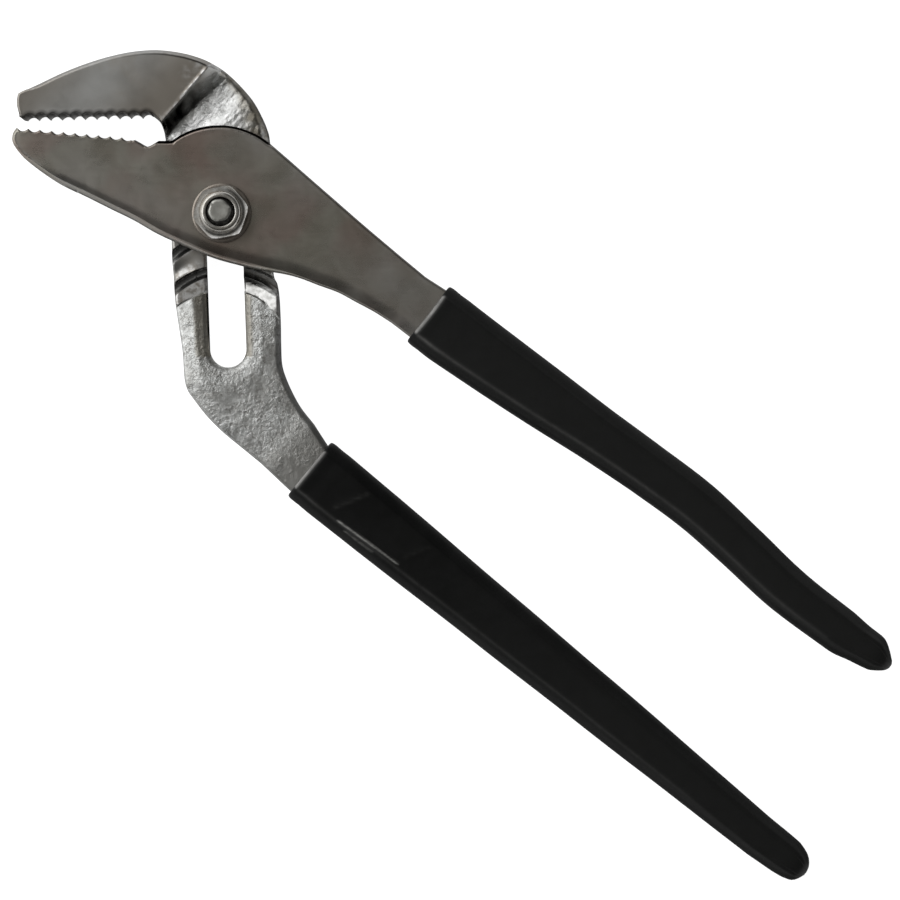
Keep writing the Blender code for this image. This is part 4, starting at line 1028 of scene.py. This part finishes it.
# ------------------------------------------------------------------ dipped grips
def make_grip(name, line, table, z_range, core, body, node, creases, ends, crest_highlight_scale, painted_sheen, bow):
    step = 0.9
    middle = curve(line, step)
    along = np.concatenate([[0], np.cumsum(np.linalg.norm(np.diff(middle, axis=0), axis=1))])
    total = along[-1]
    low, high = z_range
    hz, zc = (high - low) / 2, (high + low) / 2

    def middle_at(s):
        s = min(max(s, 0.0), total)
        x, y = np.interp(s, along, middle[:, 0]), np.interp(s, along, middle[:, 1])
        e = 1.2
        a = np.array((np.interp(max(s - e, 0), along, middle[:, 0]), np.interp(max(s - e, 0), along, middle[:, 1])))
        b = np.array((np.interp(min(s + e, total), along, middle[:, 0]), np.interp(min(s + e, total), along, middle[:, 1])))
        way = (b - a) / np.linalg.norm(b - a)
        return np.array((x, y)), np.array((-way[1], way[0])), way

    def section(w, h):
        """Right half of the cross-section, top to bottom, then mirrored: a flat face and sloping flanks."""
        band = min(2.75, 0.42 * w)
        pts = [(0.0, h), (0.35 * w, h - 0.01 * h), (w - band - 0.75, h - 0.035 * h), (w - band - 0.22, h - 0.062 * h),
               (w - band + 0.18, h - 0.115 * h), (w - 0.62 * band, h - 0.245 * h), (w - 0.32 * band, h - 0.415 * h),
               (w - 0.12 * band, h - 0.60 * h), (w - 0.02 * band, h - 0.82 * h), (w, 0.0)]
        right = pts + [(a, -z) for a, z in pts[-2::-1]]
        left = [(-a, z) for a, z in right[-2:0:-1]]
        return np.array(right + left)

    def dense(loop):
        """Two extra points on each side, on a smooth closed curve."""
        a, b, c, d = np.roll(loop, 1, 0), loop, np.roll(loop, -1, 0), np.roll(loop, -2, 0)
        out = []
        for t in (0.0, 1 / 3, 2 / 3):
            out.append(0.5 * (2 * b + (c - a) * t + (2 * a - 5 * b + 4 * c - d) * t * t + (3 * b - a - 3 * c + d) * t ** 3))
        return np.stack(out, 1).reshape(-1, 2)

    end_len = 15.0
    rows, lip_highlights, reach = [], [], []

    def ring(s, loop, mark=0.0, shift=0.0, highlight_and_wear_share=0.0, bowed=0.0):
        at, side, way = middle_at(s)
        arch = bowed * (1 - (loop[:, 0:1] / np.abs(loop[:, 0]).max()) ** 2) * np.clip(loop[:, 1:2] / hz, 0, 1)
        xy = at + side * (loop[:, 0:1] + shift) + way * (max(0.0, s - total) + arch)
        rows.append(np.column_stack([xy, zc + loop[:, 1]]))
        reach.append(np.full(len(loop), s))
        w = loop[:, 0].max()
        # painted highlight along one flank's crest, and along the mouth's lip where mark is given
        crest_highlight = np.exp(-((np.abs(loop[:, 0]) - (w - min(2.75, 0.42 * w))) / 0.42) ** 2)
        crest_highlight = crest_highlight * np.where(loop[:, 0] < 0, 1.0, 0.0) * highlight_and_wear_share * crest_highlight_scale
        lip = mark * smooth((w - min(2.3, 0.36 * w) - np.abs(loop[:, 0])) / 0.6)
        lip_highlights.append(np.where(loop[:, 1] > 0.5 * hz, np.maximum(lip, crest_highlight), 0.0))

    clear = 0.15

    def pocket_loop(wide, s):
        """The space round the handle core: square-edged at the mouth, well rounded further in."""
        zt, zb = core[1] + clear - zc, core[0] - clear - zc
        wc = max(wide + clear, 0.03)
        t = float(smooth((s - 7.0) / 2.0))
        shape = [(0.0, 0.0), (0.0, 0.0), (2.75, 0.0), (2.1, 0.05 * t), (1.65, 0.02 + 0.21 * t), (1.1, 0.05 + 0.55 * t),
                 (0.65, 0.35 + 0.63 * t), (0.3, 1.0 + 0.6 * t), (0.06, 2.0), (0.0, 0.0)]
        squeeze = min(1.0, wc / 4.0)
        def half(z):
            pts = [(0.0, z), (0.30 * wc, z)]
            for inset, fall in shape[2:-1]:
                pts.append((max(wc - inset * squeeze, 0.0), z - math.copysign(min(fall, abs(z)), z)))
            return pts
        upper, lower = half(zt), half(zb)
        right = upper + [(wc, 0.0)] + lower[::-1]
        left = [(-a, z) for a, z in right[-2:0:-1]]
        return dense(np.array(right + left))

    def wide_at(s):
        return float(np.interp(s, *zip(*table))) - GRIP_SKIN - GRIP_GAP

    def toward(share, s):
        w = float(np.interp(s, *zip(*table)))
        outer = dense(section(w, hz))
        inner = pocket_loop(wide_at(s), s)
        return inner + (outer - inner) * share

    core_end = total - 2.6
    end_r = wide_at(core_end)
    turn_at = core_end - end_r
    for share in (0.995, 0.96, 0.88, 0.76, 0.6, 0.4, 0.2):
        far = (end_r + clear) * share
        ring(turn_at + far, pocket_loop(math.sqrt((end_r + clear) ** 2 - far ** 2) - clear, turn_at + far))
    for s in np.arange(turn_at, 9.5, -2.7):
        ring(s, pocket_loop(wide_at(s), s))
    for s in (9.0, 8.3, 7.7, 7.0, 3.0):
        ring(s, pocket_loop(wide_at(s), s))
    inside_rows = len(rows)
    # the mouth's rings carry a painted highlight line on the lip
    for s, share in ((0.45, 0.0), (0.14, 0.10), (0.02, 0.28), (0.0, 0.5), (0.06, 0.74), (0.22, 0.93), (0.45, 1.02),
                     (0.8, 1.07), (1.3, 1.10), (1.9, 1.09), (2.6, 1.05), (3.4, 1.01)):
        ring(s, toward(share, s), {0.5: 0.25, 0.74: 0.8, 0.93: 1.0, 1.02: 0.75, 1.07: 0.12}.get(share, 0.0),
             highlight_and_wear_share=0.20 * smooth((s - 0.3) / 1.0), bowed=bow * min(share, 1.0) * (1 - s / 4.2))
    for s in np.arange(4.2, total - end_len - 0.5, step):
        w = float(np.interp(s, *zip(*table)))
        swell = 0.05 * math.sin(s * 0.21 + 1.0) + 0.04 * math.sin(s * 0.093)
        ring(s, dense(section(w + swell * 0.5, hz)), highlight_and_wear_share=float(np.interp(s, [4, 16, 60, 110, 126], [0.20, 0.10, 0.09, 0.07, 0.0])))
    last = ends[0][-1][0]
    w0 = float(np.interp(total - end_len, *zip(*table)))
    for t in (0.0, 0.08, 0.16, 0.24, 0.32, 0.40, 0.48, 0.56, 0.63, 0.70, 0.76, 0.81, 0.855, 0.895, 0.93, 0.955, 0.975, 0.988, 0.996, 0.9995):
        x = -end_len + (last + end_len) * t
        right_side, left_side = (float(np.interp(x, *zip(*e))) for e in ends)
        ease = smooth(t / 0.45)
        right_side = w0 + (right_side - w0) * ease
        left_side = w0 + (left_side - w0) * ease
        swell = 0.05 * math.sin((total + x) * 0.21 + 1.0) + 0.04 * math.sin((total + x) * 0.093)
        w = max(0.5 * (right_side + left_side) + 0.5 * swell * max(0.0, 1 - 2 * t), 0.03)
        q = max(0.0, (t - 0.55) / 0.45)
        ring(total + x, dense(section(w, hz * (1 - q ** 3.2) ** (1 / 2.2))), 0.0, 0.5 * (left_side - right_side))
    per = len(rows[0])
    verts = np.vstack(rows)

    # soft ripples of the skin, crease marks, and painted highlight streaks along the creases
    deep_in = np.repeat(np.arange(len(rows)), per) < inside_rows + 1
    flatness = np.clip((np.abs(verts[:, 2] - zc) / hz - 0.6) / 0.4, 0, 1)
    ripple = 0.05 * grain(verts[:, :2], 9.0, 4.4) + 0.02 * grain(verts[:, :2], 3.5, 7.7)
    lift = ripple * flatness
    lip = np.concatenate(lip_highlights)
    scuff_and_highlight = np.zeros(len(verts))
    for (a, b, width, height, mark) in creases:
        a, b = np.array(a), np.array(b)
        ab = b - a
        t = ((verts[:, :2] - a) @ ab) / (ab @ ab)
        d = np.linalg.norm(verts[:, :2] - (a + np.clip(t, 0, 1)[:, None] * ab), axis=1)
        scuff_and_highlight = np.maximum(scuff_and_highlight, mark * np.exp(-(d / (0.5 * width)) ** 2) * (verts[:, 2] > zc + 0.35 * hz))
        lift = lift + height * np.exp(-(d / width) ** 2) * smooth(np.clip(t, 0, 1) * 5) * smooth(np.clip(1 - t, 0, 1) * 5) * (verts[:, 2] > zc + 0.35 * hz)
    up = np.sign(verts[:, 2] - zc)
    lift = np.where((verts[:, 2] < zc) & (low < 0.5), np.maximum(-0.1, -np.abs(lift)) * 0 + 0.0, lift)
    verts[:, 2] = np.where(deep_in, verts[:, 2], verts[:, 2] + lift * up)
    if low < 0.5:
        verts[:, 2] = np.maximum(verts[:, 2], 0.0)

    faces = []
    for i in range(len(rows) - 1):
        for j in range(per):
            a, b = i * per + j, i * per + (j + 1) % per
            faces.append((a, a + per, b + per, b))
    flat_top = np.concatenate([np.where(verts[:, 2] > zc, flatness, 0.0), [0, 0]])
    tip = len(verts)
    verts = np.vstack([verts, verts[-per:].mean(0)])
    faces += [(tip - per + j, tip, tip - per + (j + 1) % per) for j in range(per)]
    # the blind end of the pocket
    pocket = len(verts)
    verts = np.vstack([verts, rows[0].mean(0)])
    faces += [(j, (j + 1) % per, pocket) for j in range(per)]
    verts[:, :2] += PIVOT
    made = bpy.data.meshes.new(name)
    made.from_pydata([tuple(v) for v in verts * MM], [], faces)
    import bmesh
    form = bmesh.new()
    form.from_mesh(made)
    bmesh.ops.recalc_face_normals(form, faces=form.faces)
    form.to_mesh(made)
    form.free()
    layer = made.attributes.new("scuff_and_highlight", "FLOAT", "POINT")
    layer.data.foreach_set("value", np.concatenate([scuff_and_highlight, [0, 0]]).astype(np.float32))
    layer = made.attributes.new("lip", "FLOAT", "POINT")
    layer.data.foreach_set("value", np.concatenate([lip, [0, 0]]).astype(np.float32))
    # painted sheen on the flat top face, graded along the grip by the sheen table
    layer = made.attributes.new("painted_sheen", "FLOAT", "POINT")
    layer.data.foreach_set("value", (np.concatenate([np.interp(np.concatenate(reach), *painted_sheen), [0, 0]]) * smooth(np.clip(flat_top * 1.3, 0, 1))).astype(np.float32))
    made.validate()
    made.shade_smooth()
    return add_piece(name, made, body, node, VINYL)


make_front()
make_rear()
make_pivot()
K = 0.2315


def px(u, v):
    """A place on the sketch plane from the picture's frame, in millimetres."""
    return ((u - 222.5) * K, -(v - 214) * K)


# half widths of each grip's end on its near and far side, by the distance from the end of its line
UPPER_END = ([(-15, 5.30), (-13, 5.23), (-8.5, 4.5), (-5.15, 3.98), (-3.18, 3.6), (-2.2, 3.12), (-1.18, 2.46), (-0.3, 1.8), (0.2, 1.32), (0.49, 0.76), (0.60, 0.4), (0.66, -0.1)],
             [(-15, 5.2), (-12.6, 4.95), (-5.2, 4.75), (-4.2, 4.62), (-3.46, 4.32), (-2.4, 3.6), (-1.2, 2.65), (0.28, 1.3), (0.45, 0.98), (0.58, 0.65), (0.66, 0.25)])
LOWER_END = ([(-15, 4.72), (-12.2, 4.68), (-8.8, 4.6), (-6.5, 4.4), (-4.0, 4.02), (-1.8, 3.3), (-1.1, 2.6), (-0.62, 1.8), (-0.29, 1.0), (-0.05, 0.0)],
             [(-15, 5.0), (-10.1, 5.06), (-7.05, 5.02), (-5.4, 4.95), (-4.08, 4.6), (-2.55, 4.05), (-1.7, 3.45), (-0.9, 2.65), (-0.4, 1.8), (-0.2, 1.1), (-0.05, 0.1)])
make_grip("upper_grip_skin", UPPER_LINE, UPPER_HALF, UPPER_GRIP_Z, FRONT_TANG, "front_half", "upper_grip", [], UPPER_END, 1.0, ((0, 100), (0.9, 1.0)), 0.45)
# the lower grip's creases: two faint scuffs, then two painted highlight streaks
make_grip("lower_grip_skin", LOWER_LINE, LOWER_HALF, LOWER_GRIP_Z, (REAR_TANG[0], 6.5), "rear_half", "lower_grip",
          [(px(335, 508), px(368, 494), 0.7, 0.10, 0.06), (px(405, 557), px(428, 547), 0.7, 0.07, 0.03),
           (px(338, 521), px(396, 563), 0.42, 0.16, 1.0), (px(346, 532), px(372, 552), 0.30, 0.10, 0.5)], LOWER_END, 0.55, ((30, 90), (0.0, 0.85)), 0.0)


# ------------------------------------------------------------------ floor, light, camera
def make_floor():
    mesh = bpy.data.meshes.new("floor")
    mesh.from_pydata([(-4, -4, -0.0004), (4, -4, -0.0004), (4, 4, -0.0004), (-4, 4, -0.0004)], [], [(0, 1, 2, 3)])
    floor = bpy.data.objects.new("floor", mesh)
    bpy.context.scene.collection.objects.link(floor)
    paper = bpy.data.materials.new("white_paper")
    paper.use_nodes = True
    shader = paper.node_tree.nodes["Principled BSDF"]
    shader.inputs["Base Color"].default_value = (0.9, 0.9, 0.9, 1)
    shader.inputs["Roughness"].default_value = 0.9
    shader.inputs["Specular IOR Level"].default_value = 0.0
    shader.inputs["Emission Color"].default_value = (1, 1, 1, 1)
    shader.inputs["Emission Strength"].default_value = 0.93
    mesh.materials.append(paper)
    floor.visible_glossy = False                # the metal reflects the studio, not the paper


def make_world():
    """A studio lit from the upper left: pale on that side, dim on the other, soft grey overhead."""
    world = bpy.data.worlds.new("studio")
    bpy.context.scene.world = world
    world.use_nodes = True
    tree = world.node_tree
    background = tree.nodes["Background"]
    coords = tree.nodes.new("ShaderNodeTexCoord")
    split = tree.nodes.new("ShaderNodeSeparateXYZ")
    tree.links.new(coords.outputs["Generated"], split.inputs[0])
    height = tree.nodes.new("ShaderNodeMapRange")
    height.inputs["From Min"].default_value = -1
    height.inputs["From Max"].default_value = 1
    tree.links.new(split.outputs["Z"], height.inputs["Value"])

    flat = tree.nodes.new("ShaderNodeVectorMath")
    flat.operation = "MULTIPLY"
    flat.inputs[1].default_value = (1, 1, 0)
    tree.links.new(coords.outputs["Generated"], flat.inputs[0])
    unit = tree.nodes.new("ShaderNodeVectorMath")
    unit.operation = "NORMALIZE"
    tree.links.new(flat.outputs[0], unit.inputs[0])

    def facing(direction, low, high):
        side = tree.nodes.new("ShaderNodeVectorMath")
        side.operation = "DOT_PRODUCT"
        side.inputs[1].default_value = direction
        tree.links.new(unit.outputs[0], side.inputs[0])
        share = tree.nodes.new("ShaderNodeMapRange")
        share.interpolation_type = "SMOOTHSTEP"
        share.inputs["From Min"].default_value = low
        share.inputs["From Max"].default_value = high
        tree.links.new(side.outputs["Value"], share.inputs["Value"])
        return share.outputs["Result"]

    def ramp(stops):
        made = tree.nodes.new("ShaderNodeValToRGB")
        bands = made.color_ramp
        for place, element in ((0, bands.elements[0]), (-1, bands.elements[1])):
            element.position, element.color = stops[place][0], (*stops[place][1], 1)
        for at, colour in stops[1:-1]:
            bands.elements.new(at).color = (*colour, 1)
        tree.links.new(height.outputs["Result"], made.inputs["Fac"])
        return made.outputs["Color"]

    def mix(share, a, b, how="MIX"):
        made = tree.nodes.new("ShaderNodeMix")
        made.data_type, made.blend_type = "RGBA", how
        if isinstance(share, float):
            made.inputs["Factor"].default_value = share
        else:
            tree.links.new(share, made.inputs["Factor"])
        sockets = [s for s in made.inputs if s.type == "RGBA"]
        tree.links.new(a, sockets[0])
        tree.links.new(b, sockets[1])
        return [s for s in made.outputs if s.type == "RGBA"][0]

    def grey(v):
        return (v, v, v)

    top = (0.176, 0.172, 0.164)
    none = (0.495, grey(0.0))
    far = ramp([none, (0.505, grey(0.30)), (0.54, grey(0.30)), (0.58, grey(0.23)), (0.62, grey(0.16)), (0.70, grey(0.08)),
                (0.86, grey(0.045)), (0.945, (0.080, 0.079, 0.077)), (0.98, (0.140, 0.137, 0.131)), (1.0, top)])
    near = ramp([none, (0.505, grey(0.86)), (0.54, grey(0.86)), (0.58, grey(0.58)), (0.62, grey(0.30)), (0.70, grey(0.09)),
                 (0.86, grey(0.045)), (0.945, (0.080, 0.079, 0.077)), (0.98, (0.140, 0.137, 0.131)), (1.0, top)])
    dim = mix(facing((0.50, -0.87, 0), -0.05, 0.30), far, near)
    lit = ramp([none, (0.505, grey(0.90)), (0.62, grey(0.92)), (0.70, grey(0.85)), (0.86, grey(0.66)), (0.945, grey(0.40)),
                (0.98, (0.228, 0.225, 0.219)), (1.0, top)])
    over = mix(facing((-0.85, 0.53, 0), 0.22, 0.85), dim, lit)
    none = (0.505, grey(0.0))
    under_dim = ramp([(0.0, grey(0.08)), (0.3, grey(0.11)), (0.495, grey(0.36)), none])
    under_lit = ramp([(0.0, grey(0.44)), (0.3, grey(0.68)), (0.495, grey(0.85)), none])
    under_pale = ramp([(0.0, grey(0.2)), (0.15, grey(0.42)), (0.3, grey(0.70)), (0.495, grey(0.88)), none])
    under = mix(facing((0.756, -0.655, 0), 0.80, 0.97), under_dim, under_pale)
    under = mix(facing((-0.77, 0.64, 0), -0.35, 0.55), under, under_lit)
    tree.links.new(mix(1.0, over, under, "ADD"), background.inputs["Color"])
    background.inputs["Strength"].default_value = 1.0


def softbox(name, at, size, power):
    light = bpy.data.lights.new(name, "AREA")
    light.shape = "RECTANGLE"
    light.size, light.size_y = size
    light.energy = power
    obj = bpy.data.objects.new(name, light)
    obj.location = at
    obj.rotation_mode = "QUATERNION"
    obj.rotation_quaternion = (Vector((-0.03, 0.03, 0)) - Vector(at)).to_track_quat("-Z", "Y")
    obj.visible_camera = False
    bpy.context.scene.collection.objects.link(obj)


def make_camera():
    data = bpy.data.cameras.new("camera")
    data.sensor_width = 36.0
    data.lens = 200.0
    camera = bpy.data.objects.new("camera", data)
    x, y = px(450, 450)
    distance = 900 * K / 36.0 * data.lens + 9.0
    camera.location = ((x + PIVOT[0]) * MM, (y + PIVOT[1]) * MM, distance * MM)
    bpy.context.scene.collection.objects.link(camera)
    bpy.context.scene.camera = camera


make_floor()
make_world()
softbox("softbox_upper_left", (-0.59, 0.29, 0.76), (1.0, 0.62), 2.25)
make_camera()
bpy.context.scene.view_settings.view_transform = "Standard"
bpy.context.scene.view_settings.look = "None"

bpy.context.view_layer.update()
